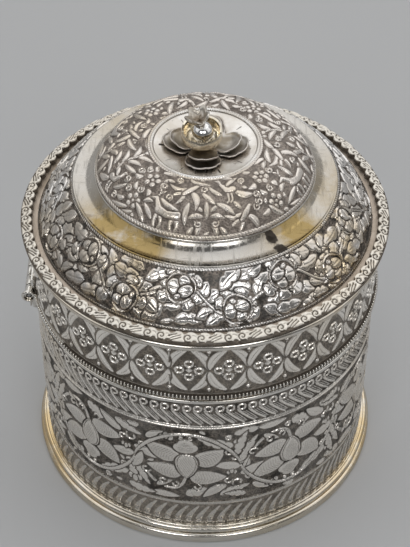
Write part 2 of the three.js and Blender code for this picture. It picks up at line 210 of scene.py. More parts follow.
def tarnish(sheet, look):
    # the yellow patches and the dark patches of a chased sheet: soot, and on the scroll border's left and
    # right sides painted shade
    degrees = np.degrees(everyVertex(sheet)[0])
    for layer in ("warm", "soot"):
        sheet[layer] = patches(degrees, look.get(layer, ()))


# Chasing: heights are worked out on the flat sheet, motif by motif, and the sheet is then rolled up.
# Lengths are in millimetres; x runs to the right round the box, y upwards or inwards.

def newSheet(face, cell):
    # face is the section of the sheet's outer side, from its lower or outer edge
    r = np.array([p[0] for p in face])
    z = np.array([p[1] for p in face])
    run = np.concatenate([[0], np.cumsum(np.hypot(np.diff(r), np.diff(z)))])
    rows = int(round(run[-1] / cell)) + 1
    across = np.linspace(0, run[-1], rows)
    columns = int(round(math.tau * r.max() / cell / 4)) * 4
    radii, heights = np.interp(across, run, r), np.interp(across, run, z)
    angles = np.radians(frontAngle) + np.linspace(0, math.tau, columns + 1) - math.pi
    size = rows * (columns + 1)
    return {"angles": angles, "across": across, "radii": radii, "levels": heights,
            "height": np.zeros(size), "hatch": np.zeros(size), "lines": np.zeros(size),
            "warm": np.zeros(size), "soot": np.zeros(size), "shift": np.zeros(size)}


def everyVertex(sheet):
    angles, across = np.meshgrid(sheet["angles"], sheet["across"])
    return angles.ravel(), across.ravel()


def patchAt(sheet, degrees, middle, reach, mirrorX=1, mirrorY=1):
    # the vertices within reach of a place, with their positions seen from it
    rows = np.nonzero(np.abs(sheet["across"] - middle) < reach)[0]
    away = (sheet["angles"] - math.radians(degrees) + math.pi) % math.tau - math.pi
    widest = sheet["radii"].max()
    columns = np.nonzero(np.abs(away) * widest < reach * 1.15)[0]
    spot = (rows[:, None] * sheet["angles"].size + columns[None, :]).ravel()
    x = (away[columns][None, :] * sheet["radii"][rows][:, None]).ravel()
    y = np.repeat(sheet["across"][rows] - middle, columns.size)
    return spot, x * mirrorX, y * mirrorY


def scaled(patch, scale):
    # the same patch with its lengths counted in units of scale millimetres
    spot, x, y = patch
    return spot, x / scale, y / scale


def turned(patch, angle):
    # the same patch with its x turned to the angle
    spot, x, y = patch
    c, s = math.cos(angle), math.sin(angle)
    return spot, x * c + y * s, y * c - x * s


def clearLines(sheet, spot, distance):
    for layer in ("lines", "hatch"):
        sheet[layer][spot] = np.where(distance < 0.1, 0, sheet[layer][spot])


def raiseMotif(sheet, spot, distance, top, edge=0.5, moat=0.45, crown=0.5, width=2.0):
    # the motif stands up from the ground and presses its neighbours down; distance is negative inside
    inside = smooth(0, edge, -distance)
    swell = np.sqrt(np.clip(-distance / width, 0, 1))
    lifted = top * inside * (1 - crown + crown * swell)
    old = sheet["height"][spot]
    sheet["height"][spot] = np.where(distance < 0, lifted, old * smooth(0, moat, distance))
    clearLines(sheet, spot, distance)


def raiseLine(sheet, spot, distance, top, width, moat=0.4):
    # a wire-like line: distance is negative inside and reaches -width along its middle
    share = np.clip(-distance / width, 0, 1)
    lifted = top * np.sqrt(share * (2 - share))
    pressed = sheet["height"][spot] * smooth(0, moat, distance)
    sheet["height"][spot] = np.where(distance < 0, np.maximum(lifted, pressed), pressed)
    clearLines(sheet, spot, distance)


def engrave(sheet, spot, distance, width, depth):
    cut = np.exp(-((distance / width) ** 2)) * depth
    sheet["height"][spot] -= cut * (sheet["height"][spot] > 0.1)


def cutLine(sheet, patch, line, width, depth):
    spot, x, y = patch
    engrave(sheet, spot, stroke(x, y, line, [0] * len(line)), width, depth)


def hatchMotif(sheet, spot, distance, phase, margin=0.35):
    # fine engraved lines, which the material draws, kept clear of the motif's edge
    sheet["hatch"][spot] = np.where(distance < 0.1, phase, sheet["hatch"][spot])
    amount = smooth(margin, margin + 0.4, -distance)
    sheet["lines"][spot] = np.where(distance < 0, amount, sheet["lines"][spot])


def ellipse(x, y, a, b):
    near = np.hypot(x / a, y / b)
    return near * (near - 1) / (np.hypot(x / (a * a), y / (b * b)) + 1e-9)


def stroke(x, y, points, halfWidths):
    # distance to a line through the points, less its half width there
    best = np.full(x.shape, 99.0)
    for (ax, ay), (bx, by), wa, wb in zip(points, points[1:], halfWidths, halfWidths[1:]):
        lx, ly = bx - ax, by - ay
        t = np.clip(((x - ax) * lx + (y - ay) * ly) / (lx * lx + ly * ly + 1e-9), 0, 1)
        best = np.minimum(best, np.hypot(x - ax - lx * t, y - ay - ly * t) - (wa + (wb - wa) * t))
    return best


def rounded(points, times=2):
    # cuts the corners of a line through the points until it runs smoothly
    line = [tuple(p) for p in points]
    for _ in range(times):
        cut = [line[0]]
        for (ax, ay), (bx, by) in zip(line, line[1:]):
            cut += [(ax * 0.75 + bx * 0.25, ay * 0.75 + by * 0.25),
                    (ax * 0.25 + bx * 0.75, ay * 0.25 + by * 0.75)]
        line = cut + [line[-1]]
    return line


def spiral(middle, startRadius, endRadius, startAngle, sweep, steps=14):
    angles = np.radians(startAngle + np.linspace(0, sweep, steps + 1))
    radii = np.linspace(startRadius, endRadius, steps + 1)
    return [(middle[0] + r * math.cos(a), middle[1] + r * math.sin(a)) for r, a in zip(radii, angles)]


def layStroke(sheet, patch, points, halfWidths, top, grooved=False, moat=0.4):
    spot, x, y = patch
    line = rounded(points)
    widths = np.interp(np.linspace(0, 1, len(line)), np.linspace(0, 1, len(halfWidths)), halfWidths)
    distance = stroke(x, y, line, widths)
    widest = max(halfWidths)
    raiseLine(sheet, spot, distance, top, widest, moat)
    if grooved:
        engrave(sheet, spot, distance + widest, 0.17, top * 0.45)


def layCurl(sheet, patch, middle, radius, startAngle, sweep, top, halfWidth=0.4):
    spot, x, y = patch
    points = spiral(middle, radius * 0.3, radius, startAngle, sweep)
    distance = stroke(x, y, points, list(np.linspace(halfWidth, halfWidth * 0.7, len(points))))
    raiseLine(sheet, spot, distance, top, halfWidth, 0.35)


def layDot(sheet, patch, middle, radius, top, moat=0.3):
    spot, x, y = patch
    distance = np.hypot(x - middle[0], y - middle[1]) - radius
    raiseMotif(sheet, spot, distance, top, 0.4, moat, 0.8, radius)


def layRing(sheet, patch, middle, radius, halfWidth, top, moat=0.25):
    spot, x, y = patch
    distance = np.abs(np.hypot(x - middle[0], y - middle[1]) - radius) - halfWidth
    raiseLine(sheet, spot, distance, top, halfWidth, moat)


def leafShape(x, y, root, tip, halfWidth, blunt, bend, lobes=0):
    # blunt says how round the root and the tip are: small is round, large is pointed
    length = math.hypot(tip[0] - root[0], tip[1] - root[1])
    c, s = (tip[0] - root[0]) / length, (tip[1] - root[1]) / length
    along = (x - root[0]) * c + (y - root[1]) * s
    side = (y - root[1]) * c - (x - root[0]) * s
    t = np.clip(along / length, 1e-4, 1 - 1e-4)
    side = side - bend * 4 * t * (1 - t)
    near, far = blunt
    widest = (near / (near + far)) ** near * (far / (near + far)) ** far
    reach = halfWidth * t ** near * (1 - t) ** far / widest
    if lobes:
        reach = reach * (1 - 0.32 * (1 - np.abs(np.sin(math.pi * lobes * t))) ** 2)
    gap = np.abs(side) - reach
    beyond = np.maximum(np.maximum(-along, along - length), 0)
    distance = np.where(beyond > 0, np.hypot(beyond, np.maximum(gap, 0)), gap * 0.85)
    return along, side, distance


def layLeaf(sheet, patch, root, tip, halfWidth, top, bend=0.0, blunt=(0.55, 0.85), vein=0.25,
            hatched=0.0, tilt=0.0, crown=0.5, moat=0.5, lobes=0):
    spot, x, y = patch
    along, side, distance = leafShape(x, y, root, tip, halfWidth, blunt, bend, lobes)
    length = math.hypot(tip[0] - root[0], tip[1] - root[1])
    lean = 1 + tilt * np.clip(side / halfWidth, -1, 1)
    raiseMotif(sheet, spot, distance, top * lean, min(0.6, halfWidth * 0.6), moat, crown, halfWidth)
    if vein:
        middle = np.where((along > length * 0.05) & (along < length * 0.82), side, 9)
        engrave(sheet, spot, middle, 0.2, vein * top)
    if hatched:
        hatchMotif(sheet, spot, distance, (along + hatched * np.abs(side)) * 6.5, 0.9)


def layRope(sheet, middle, halfWidth, top, pitch):
    # a band of small slanting nicks right round
    angles, across = everyVertex(sheet)
    radius = np.interp(middle, sheet["across"], sheet["radii"])
    count = round(math.tau * radius / pitch)
    distance = np.abs(across - middle) - halfWidth
    nicks = 0.5 + 0.5 * np.cos(angles * count + (across - middle) / pitch * math.tau * 0.7)
    raiseLine(sheet, slice(None), distance, top * (0.35 + 0.65 * nicks), halfWidth, 0.3)


def layVine(sheet, line, steep, halfWidth, top, moat, groove):
    # a grooved stem right round; line is its height at each vertex, steep its slope there
    across = everyVertex(sheet)[1]
    distance = np.abs(across - line) / np.sqrt(1 + steep ** 2) - halfWidth
    raiseLine(sheet, slice(None), distance, top, halfWidth, moat)
    engrave(sheet, slice(None), distance + halfWidth, groove, 0.3)


def layBand(sheet, low, high, top):
    across = everyVertex(sheet)[1]
    distance = np.maximum(low - across, across - high)
    raiseMotif(sheet, slice(None), distance, top, 0.35, 0.3, 0.3, (high - low) / 2)


def fillGaps(sheet, margins, sizes, tries, top, seed, crown=0.5, lobes=0, vein=0.25):
    # leaves, large ones first, are laid wherever the ground is bare or nearly so;
    # sizes holds the length, the half width and the share that may lie over other motifs
    chance = np.random.default_rng(seed)
    low, high = margins[0], sheet["across"][-1] - margins[1]
    blunt, spill = (0.6, 0.8), 1.3
    for length, halfWidth, overlap in sizes:
        for _ in range(tries):
            degrees, middle = chance.uniform(-270, 90), chance.uniform(low, high)
            heading, bend = chance.uniform(0, math.tau), chance.uniform(-0.14, 0.14) * length
            lean = chance.uniform(-0.35, 0.35)
            tip = (math.cos(heading) * length / 2, math.sin(heading) * length / 2)
            root = (-tip[0], -tip[1])
            if abs(tip[1]) + middle > high + spill or middle - abs(tip[1]) < low - spill:
                continue
            patch = patchAt(sheet, degrees, middle, length / 2 + 1.2)
            spot, x, y = patch
            if spot.size == 0:
                continue
            distance = leafShape(x, y, root, tip, halfWidth, blunt, bend)[2]
            covered = sheet["height"][spot][distance < 0.12]
            if covered.size and (covered > 0.1).mean() <= overlap:
                notches = lobes if length > 4 else 0
                layLeaf(sheet, patch, root, tip, halfWidth, top, bend, blunt, vein, 0, lean, crown,
                        0.3, notches)


def fillCurls(sheet, margins, radius, halfWidth, tries, top, seed, overlap):
    # small tendrils where the ground is still bare
    chance = np.random.default_rng(seed)
    low, high = margins[0], sheet["across"][-1] - margins[1]
    for _ in range(tries):
        degrees, middle = chance.uniform(-270, 90), chance.uniform(low + radius, high - radius)
        begin, way = chance.uniform(0, 360), chance.choice([-1, 1])
        patch = patchAt(sheet, degrees, middle, radius + 1)
        spot, x, y = patch
        covered = sheet["height"][spot][np.hypot(x, y) < radius + 0.1]
        if covered.size and (covered > 0.1).mean() <= overlap:
            layCurl(sheet, patch, (0, 0), radius - halfWidth, begin, way * 420, top, halfWidth)


def blurGrid(grid, reach):
    # a box blur, run twice, that goes on round the box
    for _ in range(2):
        grid = sum(np.roll(grid, step, axis=1) for step in range(-reach, reach + 1)) / (2 * reach + 1)
        rows = np.arange(grid.shape[0])
        grid = sum(np.take(grid, np.clip(rows + step, 0, rows[-1]), axis=0)
                   for step in range(-reach, reach + 1)) / (2 * reach + 1)
    return grid


def rollSheet(name, sheet, parts, thickness, reliefTop):
    # makes the chased sheet into closed pieces, each a share of the round
    rows, columns = sheet["across"].size, sheet["angles"].size
    layers = {key: sheet[key].reshape(rows, columns)
              for key in ("height", "hatch", "lines", "warm", "soot", "shift")}
    height = layers["height"]
    height[:, -1] = height[:, 0]
    fine = np.empty_like(height)
    fine[:, :-1] = height[:, :-1] - blurGrid(height[:, :-1], 3)
    fine[:, -1] = fine[:, 0]
    r, z = sheet["radii"], sheet["levels"]
    stepR, stepZ = np.gradient(r), np.gradient(z)
    length = np.hypot(stepR, stepZ)
    outR, outZ = stepZ / length, -stepR / length
    backRows = np.unique(np.linspace(0, rows - 1, 9).astype(int))[::-1]
    pieces = []
    for part in range(parts):
        first, last = (columns - 1) * part // parts, (columns - 1) * (part + 1) // parts
        count = last - first + 1
        cut = slice(first, last + 1)
        angles = sheet["angles"][cut]
        rowCount = rows + backRows.size + 1
        deselect()
        bpy.ops.mesh.primitive_grid_add(x_subdivisions=count - 1, y_subdivisions=rowCount - 1, size=1)
        piece = bpy.context.object
        piece.name = name if parts == 1 else name + str(part + 1)
        faceR = r[:, None] + outR[:, None] * height[:, cut] + layers["shift"][:, cut]
        faceZ = z[:, None] + outZ[:, None] * height[:, cut]
        backR = (r[backRows] - outR[backRows] * thickness)[:, None] + layers["shift"][backRows][:, cut]
        backZ = np.repeat((z[backRows] - outZ[backRows] * thickness)[:, None], count, axis=1)
        allR = np.vstack([faceR, backR, faceR[:1]])
        allZ = np.vstack([faceZ, backZ, faceZ[:1]])
        place = np.stack([allR * np.cos(angles), allR * np.sin(angles), allZ], axis=-1) * mm
        piece.data.vertices.foreach_set("co", place.astype(np.float32).ravel())
        for layerName, values in (("relief", height / reliefTop), ("cavity", fine / reliefTop),
                                  ("hatch", layers["hatch"]), ("lines", layers["lines"]),
                                  ("warm", layers["warm"]), ("soot", layers["soot"])):
            shown = values[:, cut]
            rest = np.repeat(shown[-1:], backRows.size, axis=0) * (layerName == "warm")
            setLayer(piece, layerName, np.vstack([shown, rest, shown[:1]]))
        bpy.ops.object.mode_set(mode="EDIT")
        bpy.ops.mesh.select_all(action="SELECT")
        bpy.ops.mesh.remove_doubles(threshold=2e-6)
        if parts > 1:
            capEnds()
        bpy.ops.object.mode_set(mode="OBJECT")
        tidyMesh(piece, 2e-6)
        shade(piece, 60)
        pieces.append(piece)
    print("chased", name, sum(len(piece.data.polygons) for piece in pieces), "faces")
    return pieces


# Material helpers

def newMaterial(name):
    made = bpy.data.materials.new(name)
    made.use_nodes = True
    return made, made.node_tree, made.node_tree.nodes["Principled BSDF"]


def feed(tree, value, socket):
    # links a value to a socket, or sets a plain number or colour on it
    if hasattr(value, "is_output"):
        tree.links.new(value, socket)
    elif isinstance(value, tuple):
        socket.default_value = (*value, 1)
    else:
        socket.default_value = value


def calc(tree, operation, a, b=0.0, clamp=False):
    node = tree.nodes.new("ShaderNodeMath")
    node.operation = operation
    node.use_clamp = clamp
    feed(tree, a, node.inputs[0])
    feed(tree, b, node.inputs[1])
    return node.outputs[0]


def times(tree, a, b, clamp=False):
    return calc(tree, "MULTIPLY", a, b, clamp)


def plus(tree, a, b):
    return calc(tree, "ADD", a, b)


def ramp(tree, value, low, high, start=0.0, end=1.0):
    node = tree.nodes.new("ShaderNodeMapRange")
    node.interpolation_type = "SMOOTHSTEP"
    for socketName, given in (("Value", value), ("From Min", low), ("From Max", high),
                              ("To Min", start), ("To Max", end)):
        feed(tree, given, node.inputs[socketName])
    return node.outputs["Result"]


def mixed(tree, factor, a, b):
    node = tree.nodes.new("ShaderNodeMix")
    node.data_type = "RGBA"
    feed(tree, factor, node.inputs[0])
    feed(tree, a, node.inputs[6])
    feed(tree, b, node.inputs[7])
    return node.outputs[2]


def objectPlace(tree, scale=None, rotation=(0, 0, 0)):
    place = tree.nodes.new("ShaderNodeTexCoord").outputs["Object"]
    if scale is None:
        return place
    mapping = tree.nodes.new("ShaderNodeMapping")
    mapping.inputs["Scale"].default_value = scale
    mapping.inputs["Rotation"].default_value = rotation
    tree.links.new(place, mapping.inputs["Vector"])
    return mapping.outputs["Vector"]


def noise(tree, scale, detail=4.0, roughness=0.6, place=None):
    node = tree.nodes.new("ShaderNodeTexNoise")
    feed(tree, scale, node.inputs["Scale"])
    node.inputs["Detail"].default_value = detail
    node.inputs["Roughness"].default_value = roughness
    tree.links.new(place or objectPlace(tree), node.inputs["Vector"])
    return node.outputs["Fac"]


def layerValue(tree, name):
    node = tree.nodes.new("ShaderNodeAttribute")
    node.attribute_name = name
    return node.outputs["Fac"]


def bump(tree, height, strength, distance, normal=None):
    node = tree.nodes.new("ShaderNodeBump")
    node.inputs["Strength"].default_value = strength
    node.inputs["Distance"].default_value = distance
    tree.links.new(height, node.inputs["Height"])
    if normal is not None:
        tree.links.new(normal, node.inputs["Normal"])
    return node.outputs["Normal"]


def newGroup(name, inputs, outputs):
    group = bpy.data.node_groups.new(name, "ShaderNodeTree")
    for socketName, value in inputs:
        socket = group.interface.new_socket(socketName, in_out="INPUT", socket_type="NodeSocketFloat")
        socket.default_value = value
    for socketName in outputs:
        group.interface.new_socket(socketName, in_out="OUTPUT", socket_type="NodeSocketFloat")
    return group, group.nodes.new("NodeGroupInput").outputs, group.nodes.new("NodeGroupOutput").inputs


def useGroup(tree, group, **values):
    node = tree.nodes.new("ShaderNodeGroup")
    node.node_tree = group
    for key, value in values.items():
        feed(tree, value, node.inputs[key])
    return node.outputs


def silverWearGroup():
    # cloudy tarnish, fine scratches and grain, shared by every finish
    group, given, result = newGroup("silverWear", [("cloudScale", 60.0), ("scratchScale", 900.0)],
                                    ["cloud", "scratch", "grain"])
    cloud = noise(group, given["cloudScale"], 6, 0.62)
    long = noise(group, given["scratchScale"], 3, 0.6, objectPlace(group, (1, 0.12, 0.3), (0.3, 0.2, 0.7)))
    short = noise(group, given["scratchScale"], 2, 0.6, objectPlace(group, (0.2, 1, 0.5), (0.1, 0.6, 1.9)))
    group.links.new(ramp(group, cloud, 0.38, 0.68), result["cloud"])
    scratch = calc(group, "MAXIMUM", ramp(group, long, 0.48, 0.72), ramp(group, short, 0.52, 0.74))
    group.links.new(scratch, result["scratch"])
    group.links.new(noise(group, 2600.0, 2), result["grain"])
    return group


silverWear = silverWearGroup()


def chasedSilver(name, look):
    # worn bright relief over a dark matted ground, with fine engraved lines
    made, tree, shader = newMaterial(name)
    wear = useGroup(tree, silverWear, cloudScale=look["cloudScale"])
    relief, cavity, warm = (layerValue(tree, key) for key in ("relief", "cavity", "warm"))
    engraved = ramp(tree, calc(tree, "SINE", layerValue(tree, "hatch")), 0.3, 0.95)
    engraved = times(tree, engraved, layerValue(tree, "lines"))
    lifted = ramp(tree, relief, *look["groundEdge"])
    hollow = ramp(tree, cavity, -0.24, 0.0, 1.0, 0.0)
    proud = ramp(tree, cavity, 0.03, 0.28)
    ground = times(tree, calc(tree, "SUBTRACT", 1.0, lifted), look["groundDark"])
    dirtAndShade = calc(tree, "MAXIMUM", ground, times(tree, hollow, look["lineDark"]))
    dirtAndShade = calc(tree, "MAXIMUM", dirtAndShade, times(tree, engraved, look["hatchDark"]))
    dirtAndShade = plus(tree, dirtAndShade, times(tree, wear["cloud"], look["cloud"]))
    # soot patches darken the colour; on the scroll border's left and right sides they are painted shade
    dirtAndShade = plus(tree, dirtAndShade, times(tree, layerValue(tree, "soot"), look["soot"]))
    dirtAndShade = calc(tree, "SUBTRACT", dirtAndShade, times(tree, proud, look["edgeWear"]), True)
    punches = tree.nodes.new("ShaderNodeTexVoronoi")
    punches.inputs["Scale"].default_value = look["mattingScale"]
    tree.links.new(objectPlace(tree), punches.inputs["Vector"])
    mottle = times(tree, ramp(tree, noise(tree, 420.0, 3), 0.36, 0.62),
                  ramp(tree, punches.outputs["Distance"], 0.15, 0.65))
    oxide = mixed(tree, mottle, look["dark"], look["darkWarm"])
    gilded = times(tree, warm, ramp(tree, noise(tree, 120.0, 4), 0.3, 0.62), True)
    bright = mixed(tree, gilded, look["bright"], look["yellow"])
    tree.links.new(mixed(tree, dirtAndShade, bright, oxide), shader.inputs["Base Color"])
    rough = ramp(tree, dirtAndShade, 0.0, 1.0, *look["roughness"])
    rough = plus(tree, rough, times(tree, wear["scratch"], 0.1))
    tree.links.new(rough, shader.inputs["Roughness"])
    tree.links.new(ramp(tree, dirtAndShade, 0.0, 1.0, 1.0, look["darkMetal"]), shader.inputs["Metallic"])
    normal = bump(tree, times(tree, engraved, -1.0), 0.6, 0.00012)
    pits = times(tree, punches.outputs["Distance"], calc(tree, "SUBTRACT", 1.0, lifted))
    normal = bump(tree, pits, look["matting"], 0.0003, normal)
    normal = bump(tree, noise(tree, 700.0, 3), look["hammered"], 0.0003, normal)
    normal = bump(tree, wear["grain"], 0.1, 0.00008, normal)
    tree.links.new(normal, shader.inputs["Normal"])
    return made


def plainSilver(name, look):
    # smooth silver with cloudy tarnish, fine scratches and a softly uneven surface
    made, tree, shader = newMaterial(name)
    wear = useGroup(tree, silverWear, cloudScale=look["cloudScale"])
    cloud = times(tree, wear["cloud"], look["cloud"])
    colour = mixed(tree, cloud, look["bright"], look["tint"])
    broken = ramp(tree, noise(tree, look["cloudScale"] * 1.7, 5, 0.65), 0.25, 0.6)
    stained = times(tree, layerValue(tree, "warm"), times(tree, broken, look["stain"]), True)
    colour = mixed(tree, stained, colour, look["yellow"])
    spots = times(tree, ramp(tree, noise(tree, 260.0, 5, 0.7), 0.62, 0.72), look["spots"])
    sooty = ramp(tree, plus(tree, layerValue(tree, "soot"), noise(tree, 300.0, 4)), 0.95, 1.1)
    spots = calc(tree, "MAXIMUM", spots, sooty, True)
    colour = mixed(tree, spots, colour, look["dark"])
    tree.links.new(colour, shader.inputs["Base Color"])
    rough = times(tree, wear["scratch"], look["scratch"])
    rough = plus(tree, rough, times(tree, cloud, 0.12))
    rough = plus(tree, rough, times(tree, spots, 0.3))
    tree.links.new(plus(tree, rough, look["roughness"]), shader.inputs["Roughness"])
    shader.inputs["Metallic"].default_value = 1.0
    normal = bump(tree, noise(tree, 90.0, 3), look["uneven"], 0.0006)
    normal = bump(tree, wear["scratch"], 0.06, 0.00005, normal)
    tree.links.new(normal, shader.inputs["Normal"])
    return made


chasedLook = {
    "bright": (0.85, 0.81, 0.755), "yellow": (0.62, 0.50, 0.32), "dark": (0.045, 0.04, 0.034),
    "darkWarm": (0.215, 0.187, 0.158), "cloudScale": 70.0, "cloud": 0.14, "groundEdge": (0.10, 0.45),
    "groundDark": 0.9, "lineDark": 0.9, "hatchDark": 0.25, "edgeWear": 0.4, "roughness": (0.22, 0.52),
    "darkMetal": 0.6, "mattingScale": 1500.0, "matting": 0.9, "hammered": 0.4, "soot": 0.5}
plainLook = {
    "bright": (0.74, 0.72, 0.68), "tint": (0.55, 0.48, 0.38), "yellow": (0.62, 0.46, 0.24),
    "dark": (0.07, 0.06, 0.05), "cloudScale": 45.0, "cloud": 0.4, "spots": 0.2, "scratch": 0.1,
    "roughness": 0.14, "uneven": 0.12, "stain": 1.0}

finishes = {
    "bandSilver": chasedSilver("bandSilver", chasedLook),
    "commaSilver": chasedSilver("commaSilver", {
        **chasedLook, "bright": (0.70, 0.665, 0.61), "dark": (0.17, 0.15, 0.127),
        "darkWarm": (0.36, 0.32, 0.27)}),
    "quatrefoilSilver": chasedSilver("quatrefoilSilver", {
        **chasedLook, "bright": (0.94, 0.9, 0.84), "dark": (0.11, 0.096, 0.08),
        "darkWarm": (0.28, 0.243, 0.2)}),
    "brimSilver": chasedSilver("brimSilver", {
        **chasedLook, "bright": (0.78, 0.755, 0.73), "yellow": (0.60, 0.47, 0.28),
        "darkWarm": (0.24, 0.2, 0.165), "roughness": (0.17, 0.5), "hammered": 0.3}),
    "domeSilver": chasedSilver("domeSilver", {
        **chasedLook, "bright": (0.74, 0.69, 0.64), "dark": (0.135, 0.113, 0.097),
        "darkWarm": (0.33, 0.282, 0.243), "roughness": (0.27, 0.52), "lineDark": 1.0, "edgeWear": 0.6}),
    "borderSilver": chasedSilver("borderSilver", {
        **chasedLook, "bright": (0.82, 0.78, 0.71), "dark": (0.12, 0.10, 0.08),
        "darkWarm": (0.22, 0.185, 0.145), "cloud": 0.25, "roughness": (0.45, 0.65), "lineDark": 0.6,
        "hammered": 0.2}),
    "plainSilver": plainSilver("plainSilver", plainLook),
    "grooveSilver": plainSilver("grooveSilver", {
        **plainLook, "bright": (0.12, 0.105, 0.09), "tint": (0.07, 0.06, 0.05), "roughness": 0.5}),
    "gutterSilver": plainSilver("gutterSilver", {
        **plainLook, "bright": (0.60, 0.52, 0.44), "tint": (0.4, 0.33, 0.25), "cloud": 0.7,
        "roughness": 0.55}),
    "footSilver": plainSilver("footSilver", {
        **plainLook, "bright": (0.76, 0.73, 0.67), "tint": (0.6, 0.52, 0.38), "cloud": 0.5}),
    "coveSilver": plainSilver("coveSilver", {
        **plainLook, "bright": (0.53, 0.51, 0.48), "tint": (0.42, 0.375, 0.31),
        "yellow": (0.34, 0.25, 0.11), "cloud": 0.45, "spots": 0.06, "roughness": 0.13, "scratch": 0.35,
        "stain": 1.5}),
    "discSilver": plainSilver("discSilver", {
        **plainLook, "bright": (0.78, 0.76, 0.73), "tint": (0.50, 0.44, 0.36),
        "yellow": (0.26, 0.20, 0.145), "cloud": 0.6, "spots": 0.4, "cloudScale": 90.0, "roughness": 0.25}),
    "petalSilver": plainSilver("petalSilver", {
        **plainLook, "bright": (0.64, 0.61, 0.57), "tint": (0.36, 0.30, 0.24), "cloud": 0.7, "spots": 0.5,
        "yellow": (0.26, 0.225, 0.175), "stain": 1.2, "roughness": 0.3, "uneven": 0.3}),
    "calyxSilver": plainSilver("calyxSilver", {
        **plainLook, "bright": (0.82, 0.76, 0.64), "tint": (0.46, 0.37, 0.24), "cloud": 0.7, "spots": 0.25,
        "cloudScale": 110.0, "roughness": 0.13, "uneven": 0.3}),
    "crownSilver": plainSilver("crownSilver", {
        **plainLook, "bright": (0.66, 0.63, 0.58), "tint": (0.32, 0.27, 0.21), "yellow": (0.2, 0.15, 0.1),
        "cloud": 0.8, "spots": 0.5, "cloudScale": 160.0, "roughness": 0.24, "uneven": 0.4}),
    "budSilver": plainSilver("budSilver", {
        **plainLook, "bright": (0.80, 0.80, 0.80), "tint": (0.5, 0.42, 0.3), "cloud": 0.35, "spots": 0.1,
        "roughness": 0.1}),
    "innerSilver": plainSilver("innerSilver", {
        **plainLook, "bright": (0.70, 0.68, 0.62), "roughness": 0.3, "spots": 0.4}),
    "oldSteel": plainSilver("oldSteel", {
        **plainLook, "bright": (0.42, 0.42, 0.42), "tint": (0.3, 0.24, 0.18), "roughness": 0.35}),
}


def finish(piece, material, body, slot, *nodes):
    piece.data.materials.clear()
    piece.data.materials.append(finishes[material])
    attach(piece, body)
    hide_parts(*nodes)
    return piece


def wallFace(low, high):
    return [(wallRadius, low), (wallRadius, high)]


# Band of slanting comma leaves above the foot

commaBand = {"low": 5.5, "high": 19.2, "count": 98, "top": 0.55, "head": 9.7, "tailTop": 16.5,
             "slant": 3.6, "plainLow": 17.3, "cell": 0.3, "seed": 3}


def chaseCommas():
    band = commaBand
    sheet = newSheet(wallFace(band["low"], band["high"]), band["cell"])
    layBand(sheet, band["plainLow"] - band["low"], 99, 0.45)
    chance = np.random.default_rng(band["seed"])
    rise = band["tailTop"] - band["head"]
    for k in range(band["count"]):
        degrees = frontAngle + (k + 0.5) * 360 / band["count"] + chance.uniform(-0.15, 0.15)
        patch = patchAt(sheet, degrees, band["head"] - band["low"], 9)
        for side in (-0.9, 0.9):
            layDot(sheet, patch, (side, -2.1), 0.95, band["top"] * 0.7, 0.25)
        layDot(sheet, patch, (0.0, -1.5), 1.25, band["top"] * 0.85, 0.25)
        body = [(0, 0), (0.7, 2.2), (2.0, 4.4), (band["slant"], rise)]
        layStroke(sheet, patch, body, [1.15, 0.95, 0.7, 0.3], band["top"], moat=0.3)
        cutLine(sheet, patch, [(0.2, -0.2), (0.9, 2.0), (2.3, 4.6)], 0.2, 0.25)
        layDot(sheet, patch, (-0.1, 0.0), 0.55, band["top"] * 1.05, 0.2)
    return sheet


# Floral band: ten big flowers in the loops of a running vine, every other one hanging down

floralBand = {"low": 18.9, "high": 57.7, "middle": 38.7, "flowers": 10, "first": -96.0, "top": 0.75,
              "vineReach": 16.2, "vineHalfWidth": 0.66, "cell": 0.28, "wobble": 0.35, "seed": 21,
              "leaves": [(7, 1.8, 0.04), (5, 1.5, 0.02)], "smallLeaves": [(3, 0.95, 0)],
              "warm": [(-20, 22, 0.35), (-160, 22, 0.4), (90, 60, 0.4)]}

flowerPetals = [
    # root, tip, half width, bend
    ((-2.8, 3.2), (-14.8, 9.6), 4.2, 0.5), ((-1.8, -5.0), (-14.2, -2.6), 4.0, -0.3),
    ((2.9, 1.2), (12.8, 8.8), 4.5, -0.5), ((1.2, -6.4), (13.8, -6.4), 4.0, 0.2),
]
flowerLeaves = [
    # root, tip, half width, bend, notches
    ((-18.4, 5.4), (-9.2, 1.4), 2.5, 0.3, 0), ((18.4, -1.2), (9.0, 0.4), 2.4, -0.3, 0),
    ((16.2, 9.8), (2.6, 16.2), 2.6, 0.8, 4), ((-14.0, 11.6), (-7.6, 16.8), 1.8, 0.2, 0),
    ((-0.4, -16.0), (9.8, -12.6), 2.9, 0.8, 4), ((13.6, -10.4), (5.2, -17.0), 2.3, -0.5, 0),
    ((11.4, -16.0), (22.0, -11.6), 2.3, 0.5, 4), ((-18.4, -1.0), (-12.6, -14.4), 2.1, -0.7, 4),
    ((-20.0, -4.6), (-16.4, -16.8), 2.0, -0.4, 4), ((-12.6, -17.0), (-1.8, -17.4), 1.9, 0.4, 0),
    ((-10.6, -12.8), (-4.6, -8.4), 1.5, 0.3, 0), ((15.8, 15.8), (26.4, 16.8), 2.2, 0.6, 4),
    ((17.6, 6.0), (21.6, -3.6), 2.0, 0.5, 0), ((-16.2, 16.8), (-24.6, 15.2), 2.0, 0.4, 4),
]
flowerCurls = [
    # middle, radius, start angle
    ((-15.4, 7.4), 1.3, 60), ((-14.2, -5.2), 1.5, 90), ((14.2, 7.0), 1.4, 120), ((14.2, -8.0), 1.4, 100),
    ((17.6, -9.6), 1.8, -30), ((-4.0, -10.6), 1.2, 180), ((16.2, 3.6), 1.2, 200), ((3.6, -11.4), 1.3, 180),
    ((-8.2, -9.4), 1.2, 30),
]
flowerBuds = [((-6.9, 13.6), 0.95), ((18.4, 11.6), 1.0), ((15.4, -4.0), 0.7)]


